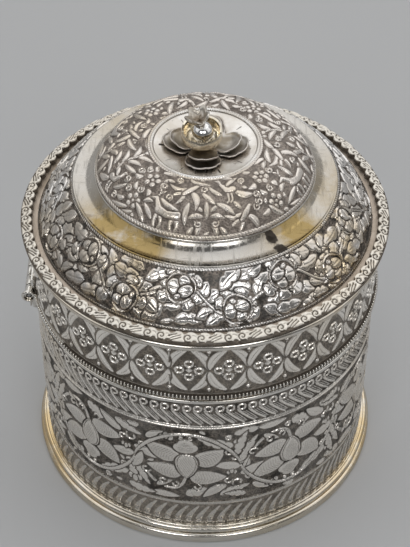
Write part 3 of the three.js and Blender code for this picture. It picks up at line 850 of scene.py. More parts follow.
def layHeart(sheet, patch, top):
    # a drop with its round end up, inside a raised outline of its own
    spot, x, y = patch
    t = np.clip((5.9 - y) / 12.8, 1e-4, 1 - 1e-4)
    profile = 4.8 * t ** 0.42 * (1 - t) ** 0.72 / 0.55
    beyond = np.maximum(y - 5.9, -6.9 - y)
    drop = np.where(beyond > 0, np.hypot(x, beyond), (np.abs(x) - profile) * 0.85)
    raiseMotif(sheet, spot, drop, top * 1.1, 0.4, 0.55, 0.4, 3.5)
    groove = np.where(drop < 0, np.exp(-((drop + 0.75) / 0.2) ** 2), 0)
    sheet["height"][spot] -= 0.4 * groove
    hatchMotif(sheet, spot, drop + 1.0, (x + y * 0.5) * 7.5, 0.2)


def layFlower(sheet, degrees, side, chance):
    band = floralBand
    patch = patchAt(sheet, degrees, band["middle"] - band["low"], 30, 1, side)
    spot, x, y = patch
    top = band["top"]
    stem = [(-17.5, 2.0), (-15.2, -5.6), (-10.4, -11.6), (-5.0, -13.4), (-1.6, -11.2), (-0.3, -6.5)]
    layStroke(sheet, patch, stem, [0.6, 0.6, 0.6], top * 0.9, True)
    for root, tip, halfWidth, bend, notches in flowerLeaves:
        reach = chance.uniform(-band["wobble"], band["wobble"], 2)
        layLeaf(sheet, patch, root, (tip[0] + reach[0], tip[1] + reach[1]), halfWidth, top * 0.85, bend,
                tilt=chance.uniform(-0.4, 0.4), lobes=notches)
    for root, tip, halfWidth, bend in flowerPetals:
        reach = chance.uniform(-band["wobble"], band["wobble"], 2)
        layLeaf(sheet, patch, root, (tip[0] + reach[0], tip[1] + reach[1]), halfWidth, top, bend,
                (0.45, 0.85), 0, 0.35, chance.uniform(-0.5, 0.5), 0.75)
    for middle, radius, startAngle in flowerCurls:
        layDot(sheet, patch, middle, radius + 0.4, 0, 0.1)
        hook = spiral(middle, radius * 0.6, radius * 1.15, startAngle, 250, 12)
        layStroke(sheet, patch, hook, [0.42, 0.36, 0.28], top * 0.9, moat=0.2)
    # the bell petal at the head, with two small horns
    bell = np.minimum(ellipse(x + 0.3, y - 9.2, 4.4, 3.1), ellipse(x + 0.3, y - 10.9, 2.9, 2.9))
    raiseMotif(sheet, spot, bell, top, 0.5, 0.5, 0.6, 3.2)
    hatchMotif(sheet, spot, bell + 1.2, y * 8.0, 0.3)
    for out in (-1, 1):
        layCurl(sheet, patch, (out * 1.7 - 0.3, 14.4), 0.9, 90 - out * 40, out * 250, top * 0.85, 0.32)
    layHeart(sheet, patch, top)
    # lobed buds beside the vine
    for (cx, cy), size in flowerBuds:
        for lobe in (-1, 1, 0):
            bud = ellipse(x - cx - lobe * 1.6 * size, y - cy + (1 - abs(lobe)) * -0.9 * size,
                          1.25 * size, (1.7 + 0.3 * (lobe == 0)) * size)
            raiseMotif(sheet, spot, bud, top * 0.85, 0.5, 0.3, 0.6, 1.2 * size)


def chaseFlorals():
    band = floralBand
    sheet = newSheet(wallFace(band["low"], band["high"]), band["cell"])
    chance = np.random.default_rng(band["seed"])
    step = 360 / band["flowers"]
    for k in range(band["flowers"]):
        layFlower(sheet, band["first"] + k * step, 1 if k % 2 == 0 else -1, chance)
    # the vine runs over one flower and under the next
    angles = everyVertex(sheet)[0]
    phase = (angles - math.radians(band["first"])) * band["flowers"] / 2
    swing = np.cos(phase)
    line = band["middle"] - band["low"] + band["vineReach"] * np.sign(swing) * np.abs(swing) ** 0.66
    steep = np.abs(np.sin(phase)) * band["vineReach"] * band["flowers"] / 2 / wallRadius
    layVine(sheet, line, steep, band["vineHalfWidth"], band["top"] * 0.95, 0.4, 0.17)
    fillGaps(sheet, (1.6, 1.6), band["leaves"], 500, band["top"] * 0.8, 6, 0.45, 0, 0.3)
    fillCurls(sheet, (1.4, 1.4), 1.7, 0.44, 600, band["top"] * 0.85, 7, 0.06)
    fillGaps(sheet, (1.6, 1.6), band["smallLeaves"], 400, band["top"] * 0.75, 8)
    tarnish(sheet, band)
    return sheet


# Band of crooks under the mouth: a ring, a slanting shaft and finer lines between

crookBand = {"low": 57.5, "high": 72.6, "count": 102, "top": 0.5, "ringHeight": 68.0, "ringRadius": 1.2,
             "wire": 0.36, "shaftFoot": 60.2, "slant": 4.6, "doubleLine": (58.2, 59.3), "plainLow": 70.3,
             "cell": 0.25, "seed": 8, "warm": [(-25, 20, 0.4), (-155, 20, 0.4)]}


def chaseCrooks():
    band = crookBand
    sheet = newSheet(wallFace(band["low"], band["high"]), band["cell"])
    across = everyVertex(sheet)[1]
    for line in band["doubleLine"]:
        raiseLine(sheet, slice(None), np.abs(across + band["low"] - line) - 0.42, 0.5, 0.42, 0.2)
    layBand(sheet, band["plainLow"] - band["low"], 99, 0.3)
    fall = band["shaftFoot"] - band["ringHeight"]
    chance = np.random.default_rng(band["seed"])
    for k in range(band["count"]):
        degrees = frontAngle + (k + 0.35) * 360 / band["count"] + chance.uniform(-0.12, 0.12)
        patch = patchAt(sheet, degrees, band["ringHeight"] - band["low"], 9)
        for shift, reach in ((1.3, 0.8), (2.3, 0.7)):
            line = [(shift - 0.9, -2.3), (band["slant"] * 0.45 + shift, -5.6),
                    (band["slant"] * reach + shift, fall * 0.94)]
            layStroke(sheet, patch, line, [0.16, 0.26, 0.18], band["top"] * 0.7, moat=0.15)
        radius = band["ringRadius"]
        shaft = [(-radius, -0.1), (-0.9, -2.1), (band["slant"] * 0.45, fall * 0.7), (band["slant"], fall)]
        layStroke(sheet, patch, shaft, [band["wire"], 0.55, 0.5, 0.36], band["top"], moat=0.25)
        layRing(sheet, patch, (0, 0), radius, band["wire"], band["top"] * 1.15)
        layDot(sheet, patch, (0, 0), 0.4, band["top"] * 0.5, 0.15)
    tarnish(sheet, band)
    return sheet


# Quatrefoil band on the lid's wall

quatrefoilBand = {"low": 73.0, "high": 97.4, "middle": 86.5, "count": 29, "first": -94.9, "top": 0.72,
                  "halfHeight": 9.6, "cupReach": (3.17, 3.03), "cupRadius": 1.3, "leafHalfWidth": 1.8,
                  "leafBend": -1.5, "cell": 0.28, "seed": 11, "warm": [(-40, 25, 0.3), (-150, 20, 0.3)]}


def chaseQuatrefoils():
    band = quatrefoilBand
    sheet = newSheet(wallFace(band["low"], band["high"]), band["cell"])
    top = band["top"]
    middle = band["middle"] - band["low"]
    half = math.pi * wallRadius / band["count"]
    layBand(sheet, -9, 3.0, 0.35)
    chance = np.random.default_rng(band["seed"])
    for k in range(band["count"]):
        degrees = band["first"] + k * 360 / band["count"]
        for mirrorX in (-1, 1):
            for mirrorY in (-1, 1):
                patch = patchAt(sheet, degrees, middle, 14, mirrorX, mirrorY)
                layLeaf(sheet, patch, (half - 0.1, 0.3), (0.45, band["halfHeight"]), band["leafHalfWidth"],
                        top, band["leafBend"], (0.45, 0.45), 0.5, 0, chance.uniform(0, 0.6), 0.8)
        patch = patchAt(sheet, degrees, middle, 14)
        spot, x, y = patch
        cupX, cupY = band["cupReach"]
        for place in ((-cupX, 0), (cupX, 0), (0, cupY), (0, -cupY)):
            layRing(sheet, patch, place, band["cupRadius"], 0.36, top)
            layDot(sheet, patch, (place[0], place[1] + band["cupRadius"] + 0.3), 0.36, top * 1.15, 0.1)
        for corner in (0.8, 2.35, 3.94, 5.5):
            layDot(sheet, patch, (math.cos(corner) * 2.9, math.sin(corner) * 2.9), 0.5, top * 0.6, 0.2)
        boss = np.hypot(x, y) * (1 - 0.16 * np.cos(4 * np.arctan2(y, x))) - 1.15
        raiseMotif(sheet, spot, boss, top * 0.9, 0.5, 0.2, 0.6, 1.1)
        between = patchAt(sheet, degrees + 180 / band["count"], middle, 12)
        for upward in (-1, 1):
            stalk = [(0, upward * 3.0), (0, upward * 9.8)]
            layStroke(sheet, between, stalk, [0.16, 0.4], top * 0.45, moat=0.15)
            layDot(sheet, between, (0, upward * 8.7), 0.85, top * 1.1)
    tarnish(sheet, band)
    return sheet


chasedBands = [
    # name, chasing, parts, relief, body, node, finish
    ("commaBand", chaseCommas, 1, commaBand["top"], "body", "body_wall", "commaSilver"),
    ("floralBand", chaseFlorals, 3, floralBand["top"], "body", "body_wall", "bandSilver"),
    ("crookBand", chaseCrooks, 2, crookBand["top"], "body", "body_wall", "bandSilver"),
    ("quatrefoilBand", chaseQuatrefoils, 2, quatrefoilBand["top"], "lid", "lid_wall", "quatrefoilSilver"),
]
skinThickness = 0.45
for name, chase, parts, reliefTop, body, node, silver in chasedBands:
    for piece in rollSheet(name, chase(), parts, skinThickness, reliefTop):
        finish(piece, silver, body, "chased_silver", node)

# Smooth linings behind the chased skins
skinBack = wallRadius - skinThickness - 0.02
bodyLining = turn("bodyLining", [
    (wallInside, wallFoot), (wallRadius, wallFoot), (wallRadius, commaBand["low"]),
    (skinBack, commaBand["low"]), (skinBack, mouthHeight), (wallInside, mouthHeight)])
finish(bodyLining, "innerSilver", "body", "inner_silver", "body_wall")
lidLining = turn("lidLining", [
    (wallInside, lidFoot), (skinBack, lidFoot), (skinBack, quatrefoilBand["high"]),
    (wallRadius, quatrefoilBand["high"]), (wallRadius, lidTop), (wallInside, lidTop)])
finish(lidLining, "innerSilver", "lid", "inner_silver", "lid_wall")
print("walls done")


# Foot, base and mouth

footLook = {"round": 1.5, "warm": [(-20, 30, 0.9), (-160, 32, 0.9), (90, 60, 0.8), (-90, 12, 0.0)]}


def makeFoot():
    high = boxOf("foot_ring")[1]
    radius, top, bore = high[1], high[2], wallRadius + 0.3
    ledge = wallFoot - 0.3
    rounding = footLook["round"]
    section = [(wallInside - 2.4, 0.25), (wallInside - 2.1, 0.0), (radius - 0.8, 0.0),
               (radius - 0.15, 0.35)]
    section += arc((radius - rounding, top - rounding), rounding, -25, 80, 12)
    section += [(radius - 2.1, top - 0.12), (bore, top - 0.12), (bore, ledge), (wallInside - 2.1, ledge),
                (wallInside - 2.4, ledge - 0.25)]
    ring = turn("footRing", section, 320)
    stain(ring, footLook["warm"])
    finish(ring, "footSilver", "body", "warm_silver", "foot_ring")
    low, high = boxOf("foot_wire")
    radius = high[1]
    section = [(bore, low[2]), (radius - 1.2, low[2])]
    section += arc((radius - 1.25, low[2] + 1.25), 1.25, -80, 70, 12)
    section += arc((radius - 1.7, high[2] - 0.55), 0.5, 20, 100, 6) + [(bore, high[2])]
    wire = turn("footWire", section, 320)
    stain(wire, footLook["warm"])
    finish(wire, "footSilver", "body", "warm_silver", "foot_wire")


def makeBase():
    low, high = boxOf("base_plate")
    radius, foot, top = high[1], low[2], high[2]
    section = [(0, foot), (18.0, foot), (18.3, foot + 0.2), (18.6, foot), (40.0, foot), (40.3, foot + 0.2),
               (40.6, foot), (radius - 0.3, foot), (radius, foot + 0.3), (radius, top), (radius - 1.4, top),
               (radius - 2.2, top - 0.15), (30.0, top - 0.2), (0, top - 0.12)]
    finish(turn("basePlate", section, 192), "innerSilver", "body", "inner_silver", "base_plate")


def makeMouth():
    low, high = boxOf("mouth_wire")
    bore, radius = wallRadius + 0.12, high[1]
    gap = 2 * math.degrees(math.asin((boxOf("body_hinge_leaf")[1][1] + leafClearance) / radius))
    section = [(bore, low[2])]
    section += arc((radius - 0.5, low[2] + 0.5), 0.5, -80, 0, 5)
    section += arc((radius - 0.5, high[2] - 0.5), 0.5, 0, 80, 5)
    section += [(bore, high[2])]
    wire = turn("mouthWire", section, 300, sweep=360 - gap)
    finish(wire, "plainSilver", "body", "plain_silver", "mouth_wire")
    low, high = boxOf("mouth_bezel")
    radius = high[1]
    section = [(radius - 0.9, low[2] + 0.2), (radius - 0.7, low[2]), (radius - 0.1, low[2]),
               (radius, low[2] + 0.2), (radius, high[2] - 0.6), (radius - 0.25, high[2] - 0.1),
               (radius - 0.6, high[2]), (radius - 0.9, high[2] - 0.2)]
    finish(turn("mouthBezel", section, 256), "innerSilver", "body", "inner_silver", "mouth_bezel")


makeFoot()
makeBase()
makeMouth()


# Beaded wire round the lid's lower edge

beadLook = {"radius": 59.7, "height": 74.6, "count": 296, "beadHalf": (0.42, 0.38, 0.95), "coreHalf": 0.8}


def makeBeads():
    look = beadLook
    reach = boxOf("lid_hinge_leaf")[1][1] + leafClearance
    halfOpen = math.asin(reach / look["radius"])
    step = math.tau / look["count"]
    count = int((math.tau - 2 * halfOpen) / step)
    deselect()
    begin = math.pi + halfOpen + step / 2
    bpy.ops.mesh.primitive_uv_sphere_add(segments=8, ring_count=6, radius=1)
    bead = bpy.context.object
    bead.name = "beadWire"
    across, along, tall = (c * mm for c in look["beadHalf"])
    bead.data.transform(Matrix.Diagonal((across * 1.5, along, tall, 1)))
    bead.data.transform(Matrix.Translation((look["radius"] * mm, 0, look["height"] * mm)))
    bead.data.transform(Matrix.Rotation(begin, 4, "Z"))
    deselect()
    bpy.ops.object.empty_add(location=(0, 0, 0), rotation=(0, 0, step))
    turner = bpy.context.object
    bpy.context.view_layer.update()
    applyModifier(bead, "ARRAY", count=count, use_relative_offset=False, use_object_offset=True,
                  offset_object=turner)
    bpy.data.objects.remove(turner)
    core = look["coreHalf"]
    section = [(wallRadius + 0.1, look["height"] - core), (look["radius"] - 0.1, look["height"] - core),
               (look["radius"], look["height"]), (look["radius"] - 0.1, look["height"] + core),
               (wallRadius + 0.1, look["height"] + core)]
    strip = turn("beadCore", section, 300, sweep=360 - 2 * math.degrees(halfOpen))
    finish(strip, "grooveSilver", "lid", "plain_silver", "lid_bead_wire")
    shade(bead, 60)
    finish(bead, "plainSilver", "lid", "plain_silver", "lid_bead_wire")


makeBeads()


# Half-round moulding under the rim, with a fine line above and below

mouldingLook = {"warm": [(-35, 30, 0.5), (-150, 30, 0.5), (90, 60, 0.4)]}


def makeMoulding():
    low, high = boxOf("lid_rim_moulding")
    bore, radius = wallRadius + 0.1, high[1]
    foot, top = low[2] + 0.35, high[2]
    half = (top - foot) / 2
    section = [(bore, low[2]), (wallRadius + 0.75, low[2]), (wallRadius + 0.85, foot)]
    section += arc((radius - half, foot + half), half, -70, 75, 14)
    section += [(wallRadius + 1.2, top), (bore, top)]
    ring = turn("rimMoulding", section, 320)
    stain(ring, mouldingLook["warm"])
    finish(ring, "plainSilver", "lid", "plain_silver", "lid_rim_moulding")


makeMoulding()
print("rings done")


# Scroll border: a pale strip of engraved scrolls with a scalloped inner edge

# the two dark patches at the border's left and right sides are painted shade
borderLook = {"count": 30, "scallop": 1.1, "top": 0.5, "cell": 0.225, "first": -91.0, "notch": 0.8,
              "warm": [(-30, 30, 0.25), (150, 60, 0.25)], "soot": [(-178, 34, 0.68), (-2, 34, 0.68)]}


def chaseBorder():
    look = borderLook
    foot, top = borderSpan[0][2], borderSpan[1][2]
    outer = borderSpan[1][1]
    crest = wallRadius + 0.3
    face = [(outer - 0.15, foot), (outer - 0.1, foot + 0.75), (outer - 0.5, foot + 1.05),
            (crest + 0.9, top - 0.75), (crest, top - 0.5), (crest - 0.5, top - 0.75),
            (crest - 0.6, foot + 0.5)]
    sheet = newSheet(face, look["cell"])
    run = sheet["across"][-1]
    flatLow, flatHigh = 0.95, run - 1.6
    middle = (flatLow + flatHigh) / 2
    layBand(sheet, flatLow, flatHigh + 0.6, look["top"])
    pitch = 360 / look["count"]
    for k in range(look["count"]):
        degrees = look["first"] + k * pitch
        for shift in (-4.1, 0.1):
            spot, x, y = patch = patchAt(sheet, degrees + math.degrees(shift / crest), middle, 3.2)
            cutLine(sheet, patch, spiral((0, 0.1), 0.3, 1.5, -140, 440, 20), 0.24, 0.5)
            cutLine(sheet, patch, rounded([(1.1, 0.9), (2.0, 1.0), (2.7, 0.2)]), 0.18, 0.25)
            notch = np.hypot(x - 2.1, (y + 1.75) * 0.8) - look["notch"]
            sheet["height"][spot] *= smooth(0, 0.3, notch)
        patch = patchAt(sheet, degrees + math.degrees(4.1 / crest), middle, 3.6)
        for blade in ([(-1.7, -0.9), (0.0, 0.3), (1.8, 0.9)], [(-1.2, -1.2), (0.6, -0.5), (2.0, 0.1)],
                      [(-1.9, 0.2), (-0.6, 0.9), (0.6, 1.2)]):
            cutLine(sheet, patch, rounded(blade), 0.21, 0.45)
    # the inner edge goes in and out, three scallops to a scroll unit
    angles, across = everyVertex(sheet)
    bite = 0.5 + 0.5 * np.cos(angles * look["count"] * 3)
    inward = smooth(flatHigh - 0.7, flatHigh + 0.2, across)
    sheet["shift"] = inward * look["scallop"] * (bite ** 2 - 0.35)
    tarnish(sheet, look)
    return sheet


for piece in rollSheet("scrollBorder", chaseBorder(), 1, 0.5, borderLook["top"]):
    finish(piece, "borderSilver", "lid", "white_silver", "scroll_border")


# Brim: round flowers on a waving vine, in high relief on a matted slope

domeRadius = domeSpan[1][1] - 0.45
coveTop = brimSpan[1][2]
brimFoot = wallRadius - 2.5
flangeTop = brimSpan[0][2] + 0.9
coveOuter = domeRadius + 7.4
coveInner = domeRadius - 0.45
brimTop = coveTop - 3.1
brimLook = {"flowers": 18, "first": -80.0, "top": 0.85, "ring": 4.5, "petalReach": 8.2, "vineReach": 4.4,
            "vineHalfWidth": 0.45, "bulge": 0.9, "cell": 0.265, "seed": 31,
            "leaves": [(9.5, 2.7, 0.5), (7, 2.3, 0.35)], "smallLeaves": [(5, 1.3, 0.05), (3.4, 1.0, 0)],
            "warm": [(-122, 16, 0.8), (-32, 22, 0.85), (-165, 25, 0.4), (120, 40, 0.4)],
            "soot": [(-150, 28, 1.0), (-8, 18, 0.4)]}


def layRose(sheet, patch, angle, top, chance):
    # overlapping petals inside a raised ring, and ragged petals round it
    look = brimLook
    for k in range(4):
        way = angle + k * math.tau / 4 + chance.uniform(-0.25, 0.25)
        c, s = math.cos(way), math.sin(way)
        reach = look["petalReach"] * chance.uniform(0.85, 1.05)
        layLeaf(sheet, patch, (c * 3.0, s * 3.0), (c * reach, s * reach), chance.uniform(2.3, 2.9), top,
                chance.uniform(-0.6, 0.6), (0.7, 0.45), 0.2, 0, chance.uniform(-0.6, 0.6), 0.6, 0.4, 2)
    spot, x, y = turned(patch, angle)
    ragged = look["ring"] * (1 + 0.06 * np.cos(3 * np.arctan2(y, x) + 1))
    layDot(sheet, patch, (0, 0), look["ring"], 0, 0.1)
    raiseLine(sheet, spot, np.abs(np.hypot(x, y) - ragged) - 0.36, top, 0.36, 0.3)
    for cx, cy, wide, tall, high in ((-1.5, 1.0, 2.5, 2.9, 0.9), (1.9, 1.3, 1.9, 2.3, 0.8),
                                     (1.1, -1.5, 2.7, 2.1, 1.05), (-2.0, -2.0, 1.3, 1.0, 0.8)):
        petal = ellipse(x - cx, y - cy, wide, tall)
        raiseMotif(sheet, spot, petal, top * high, 0.6, 0.3, 0.35, 2.2)
        fold = np.where(petal < -0.3, (y - cy) * 0.8 + (x - cx) * 0.5 + 0.2, 9)
        engrave(sheet, spot, fold, 0.2, top * 0.25)


def chaseBrim():
    look = brimLook
    face = bowed((brimFoot, flangeTop), (coveOuter, brimTop), look["bulge"], 16)
    sheet = newSheet(face, look["cell"])
    run = sheet["across"][-1]
    middle = run / 2
    top = look["top"]
    angles = everyVertex(sheet)[0]
    chance = np.random.default_rng(look["seed"])
    step = 360 / look["flowers"]
    # a bed of leaves, then the vine, then the roses over both
    fillGaps(sheet, (2.2, 2.2), look["leaves"], 900, top * 0.95, 9, 0.6, 2, 0.2)
    phase = (angles - math.radians(look["first"])) * look["flowers"] / 2
    line = middle - look["vineReach"] * np.cos(phase) + 0.9 * np.sin(phase * 2)
    steep = np.abs(np.sin(phase)) * look["vineReach"] * look["flowers"] / 2 / 50
    layVine(sheet, line, steep, look["vineHalfWidth"], top * 0.85, 0.35, 0.16)
    for k in range(look["flowers"]):
        inward = 1 if k % 2 else -1
        degrees = look["first"] + k * step + chance.uniform(-1.2, 1.2)
        patch = patchAt(sheet, degrees, middle + inward * 3.4, 14, 1, inward)
        layRose(sheet, patch, chance.uniform(0, 6), top, chance)
    fillCurls(sheet, (1.9, 1.9), 1.6, 0.34, 500, top * 0.85, 12, 0.1)
    fillGaps(sheet, (1.9, 1.9), look["smallLeaves"], 600, top * 0.85, 10, 0.6)
    layRope(sheet, 0.75, 0.6, 0.5, 0.95)
    layRope(sheet, run - 0.7, 0.6, 0.5, 0.95)
    tarnish(sheet, look)
    return sheet


for piece in rollSheet("brimRelief", chaseBrim(), 2, 0.7, brimLook["top"]):
    finish(piece, "brimSilver", "lid", "chased_silver", "lid_brim")


coveLook = {"hollow": 1.3, "seam": 33.4, "sheet": 0.85, "soot": [(-56.5, 4.6, 0.66)],
            "warm": [(-142, 15, 1.0), (-118, 12, 0.8), (-44, 12, 1.0), (-10, 22, 0.35), (120, 40, 0.3)]}


def makeFlangeAndCove():
    outer = brimSpan[1][1]
    foot = brimSpan[0][2]
    section = [(brimFoot - 0.2, foot), (outer - 0.2, foot), (outer, foot + 0.2), (outer, flangeTop - 0.1),
               (outer - 0.2, flangeTop), (brimFoot - 0.2, flangeTop)]
    flange = turn("brimFlange", section, 256)
    finish(flange, "gutterSilver", "lid", "chased_silver", "lid_brim")
    face = [(coveOuter + 0.35, brimTop - 0.15)] + arc((coveOuter, brimTop + 0.1), 0.38, 0, 90, 4)
    face += bowed((coveOuter - 0.35, brimTop + 0.25), (coveInner, coveTop), -coveLook["hollow"], 18)
    face += [(coveLook["seam"], coveTop)]
    back = [(r - 0.25, z - coveLook["sheet"]) for r, z in face[::-1]]
    ring = turn("cove", face + back, 320, degrees=60)
    stain(ring, coveLook["warm"])
    stain(ring, coveLook["soot"], "soot")
    finish(ring, "coveSilver", "lid", "chased_silver", "lid_brim")


makeFlangeAndCove()
print("brim done")


# Dome: birds, deer, flowers and sprays on a matted ground, two rows between roped edges

domeEdge = coveTop + 1.2
discRadius = 17.4
discEdge = domeEdge + 9.6
discMiddle = boxOf("finial_lower_petals")[0][2] - 0.3
domeLook = {"top": 0.6, "cell": 0.24, "swell": 3.5, "outerRow": 6.6, "innerRow": 15.6, "size": 1.15,
            "crown": 0.35, "margins": (1.5, 1.3), "leaves": [(8, 1.15, 0.1), (6.5, 1.1, 0.05)],
            "smallLeaves": [(3.8, 0.95, 0), (2.0, 0.75, 0)], "seed": 17,
            "warm": [(-70, 30, 0.4), (-110, 14, 0.35), (160, 50, 0.4)]}


def layFlat(sheet, patch, root, tip, halfWidth, top, bend=0.0, blunt=(0.5, 0.9), vein=0.0):
    layLeaf(sheet, patch, root, tip, halfWidth, top, bend, blunt, vein, 0, 0.1, domeLook["crown"], 0.3)


def layDeer(sheet, patch, top):
    for points, widths in (
            ([(2.2, 0), (2.9, -2.2), (2.3, -4.3)], [0.6, 0.42, 0.3]),
            ([(-2.3, 0), (-3.3, -2.0), (-2.7, -4.3)], [0.8, 0.45, 0.3]),
            ([(1.5, -0.4), (0.9, -2.3), (1.6, -4.3)], [0.55, 0.4, 0.3]),
            ([(-1.7, -0.3), (-1.3, -2.3), (-2.0, -4.3)], [0.65, 0.42, 0.3]),
            ([(3.6, 3.3), (2.9, 4.7), (3.7, 6.0)], [0.3, 0.26, 0.18]),
            ([(3.1, 4.5), (2.0, 5.3)], [0.25, 0.17]),
            ([(-3.1, 0.9), (-4.2, 1.8)], [0.35, 0.2])):
        layStroke(sheet, patch, points, widths, top * 0.9, moat=0.3)
    spot, x, y = patch
    body = stroke(x, y, [(-2.5, 0.3), (0, 0.1), (2.2, 0.7)], [1.15, 0.95, 1.15])
    neck = stroke(x, y, [(2.3, 1.0), (3.5, 3.1), (4.9, 2.8)], [0.95, 0.62, 0.32])
    raiseMotif(sheet, spot, np.minimum(body, neck), top, 0.4, 0.35, 0.4, 1.1)


def layBird(sheet, patch, top):
    # a bird on the wing: both wings and the forked tail swept back
    layFlat(sheet, patch, (0.6, 0.5), (-6.6, 1.6), 1.15, top, 1.1, (0.4, 1.0))
    layFlat(sheet, patch, (0.9, -0.1), (2.6, -6.6), 1.15, top, 1.1, (0.4, 1.0))
    layFlat(sheet, patch, (-0.8, -0.9), (-4.6, -2.6), 0.7, top * 0.9, -0.4, (0.5, 0.7))
    layFlat(sheet, patch, (-0.8, -0.9), (-3.0, -4.6), 0.7, top * 0.9, 0.4, (0.5, 0.7))
    spot, x, y = patch
    body = stroke(x, y, [(-1.2, -1.1), (0.6, 0.6), (2.0, 2.1), (2.9, 2.2)], [0.65, 0.95, 0.6, 0.12])
    raiseMotif(sheet, spot, body, top, 0.4, 0.35, 0.4, 0.9)
    layCurl(sheet, patch, (4.2, 1.0), 1.1, 100, -330, top * 0.85, 0.3)


def layPerched(sheet, patch, top):
    # a standing bird with a long tail
    layFlat(sheet, patch, (-0.8, 0.4), (-6.2, -3.2), 1.25, top, 0.9, (0.8, 0.6))
    for foot in (-0.2, 0.8):
        leg = [(foot, -0.8), (foot + 0.2, -3.2), (foot + 1.0, -3.7)]
        layStroke(sheet, patch, leg, [0.3, 0.24], top * 0.8, moat=0.25)
    spot, x, y = patch
    body = stroke(x, y, [(-1.0, 0.2), (0.6, 0.5), (1.7, 2.2), (1.9, 3.9), (3.1, 4.0)],
                  [1.1, 1.15, 0.6, 0.55, 0.1])
    raiseMotif(sheet, spot, body, top, 0.4, 0.35, 0.4, 1.0)
    layFlat(sheet, patch, (0.6, 1.4), (-4.4, 3.6), 0.95, top * 1.1, -0.6, (0.4, 1.0))
    layFlat(sheet, patch, (2.4, -1.4), (5.4, 3.2), 0.9, top * 0.9, -0.6)


def layTwin(sheet, patch, top):
    # two birds head to head beneath a bud, alike on both sides
    spot, x, y = patch
    for way in (-1, 1):
        half = (spot, x * way, y)
        layFlat(sheet, half, (0.9, 1.0), (5.6, -0.2), 0.95, top, 0.7, (0.5, 0.9))
        layFlat(sheet, half, (1.2, -0.6), (2.4, -6.0), 0.9, top, 0.8, (0.5, 0.8))
        layFlat(sheet, half, (3.6, -1.8), (5.6, -6.4), 0.95, top, 0.4, (0.6, 0.8))
        layFlat(sheet, half, (0.9, 2.4), (3.4, 5.2), 0.75, top, -0.4)
        layCurl(sheet, half, (2.3, -1.0), 1.0, 60, 330, top * 0.85, 0.3)
    layFlat(sheet, patch, (0, 0.2), (0, 5.6), 0.9, top, 0, (0.6, 0.6))


def layBlossom(sheet, patch, top, petals):
    for k in range(petals):
        angle = 1.57 + k * math.tau / petals
        layDot(sheet, patch, (1.65 * math.cos(angle), 1.65 * math.sin(angle)), 0.92, top, 0.25)
    layDot(sheet, patch, (0, 0), 0.6, top * 0.9, 0.2)
    for angle in (0.4, 1.9, 3.4, 5.0):
        c, s = math.cos(angle), math.sin(angle)
        layFlat(sheet, patch, (c * 3.1, s * 3.1), (c * 6.6, s * 5.6), 1.0, top * 0.9, 0.6)


def laySpray(sheet, patch, top, chance):
    stem = [(-0.8, -5.4), (0.6, -2.2), (-0.4, 1.4), (0.8, 4.6)]
    layStroke(sheet, patch, stem, [0.38, 0.3, 0.25], top * 0.8, moat=0.3)
    for height, out in ((-3.4, 1), (-1.8, -1), (0.2, 1), (1.4, -1)):
        reach = chance.uniform(-0.5, 0.5)
        layFlat(sheet, patch, (out * 0.3, height), (out * 4.6, height + 2.6 + reach), 1.05, top, out * 0.7)
    layFlat(sheet, patch, (0.4, 3.4), (1.2, 6.6), 0.9, top, 0.2)


domeBirds = {"bird": layBird, "perched": layPerched, "twin": layTwin}
domeRows = [
    # place of the row, number of motifs, first angle, motifs in turn
    ("outerRow", 16, -90.0, ["twin", "bird", "blossom", "deer", "spray", "perched", "blossom", "deer"]),
    ("innerRow", 12, -72.0, ["perched", "blossom", "bird", "spray", "blossom", "bird"]),
]


def chaseDome():
    look = domeLook
    face = bowed((domeRadius, domeEdge), (discRadius, discEdge), look["swell"], 40)
    sheet = newSheet(face, look["cell"])
    run = sheet["across"][-1]
    top = look["top"]
    chance = np.random.default_rng(look["seed"])
    for row, count, first, kinds in domeRows:
        for k in range(count):
            degrees = first + k * 360 / count + chance.uniform(-1.2, 1.2)
            facing = 1 if k % 3 else -1
            height = look[row] + chance.uniform(-0.3, 0.3)
            patch = scaled(patchAt(sheet, degrees, height, 11, facing), look["size"])
            kind = kinds[k % len(kinds)]
            if kind == "deer":
                layDeer(sheet, scaled(patch, 1.15), top)
            elif kind == "blossom":
                layBlossom(sheet, patch, top, 5 + k % 2)
            elif kind == "spray":
                laySpray(sheet, patch, top, chance)
            else:
                domeBirds[kind](sheet, patch, top)
    margins = look["margins"]
    fillGaps(sheet, margins, look["leaves"], 700, top * 0.95, 13, look["crown"], 0, 0)
    fillCurls(sheet, margins, 1.6, 0.34, 900, top * 0.95, 14, 0.1)
    fillGaps(sheet, margins, look["smallLeaves"], 500, top * 0.9, 15, look["crown"], 0, 0)
    layRope(sheet, 0.95, 0.75, 0.55, 1.15)
    layRope(sheet, run - 0.85, 0.55, 0.5, 1.0)
    tarnish(sheet, look)
    return sheet


for piece in rollSheet("domeRelief", chaseDome(), 2, 0.7, domeLook["top"]):
    finish(piece, "domeSilver", "lid", "chased_silver", "lid_dome")


discLook = {"rays": 13, "rayFrom": 3.2, "rayTo": 7.2, "rayDepth": 0.1, "cell": 0.16,
            "rope": (0.95, 0.42, 0.3, 0.8), "warm": [(-120, 40, 1), (-20, 40, 1)]}


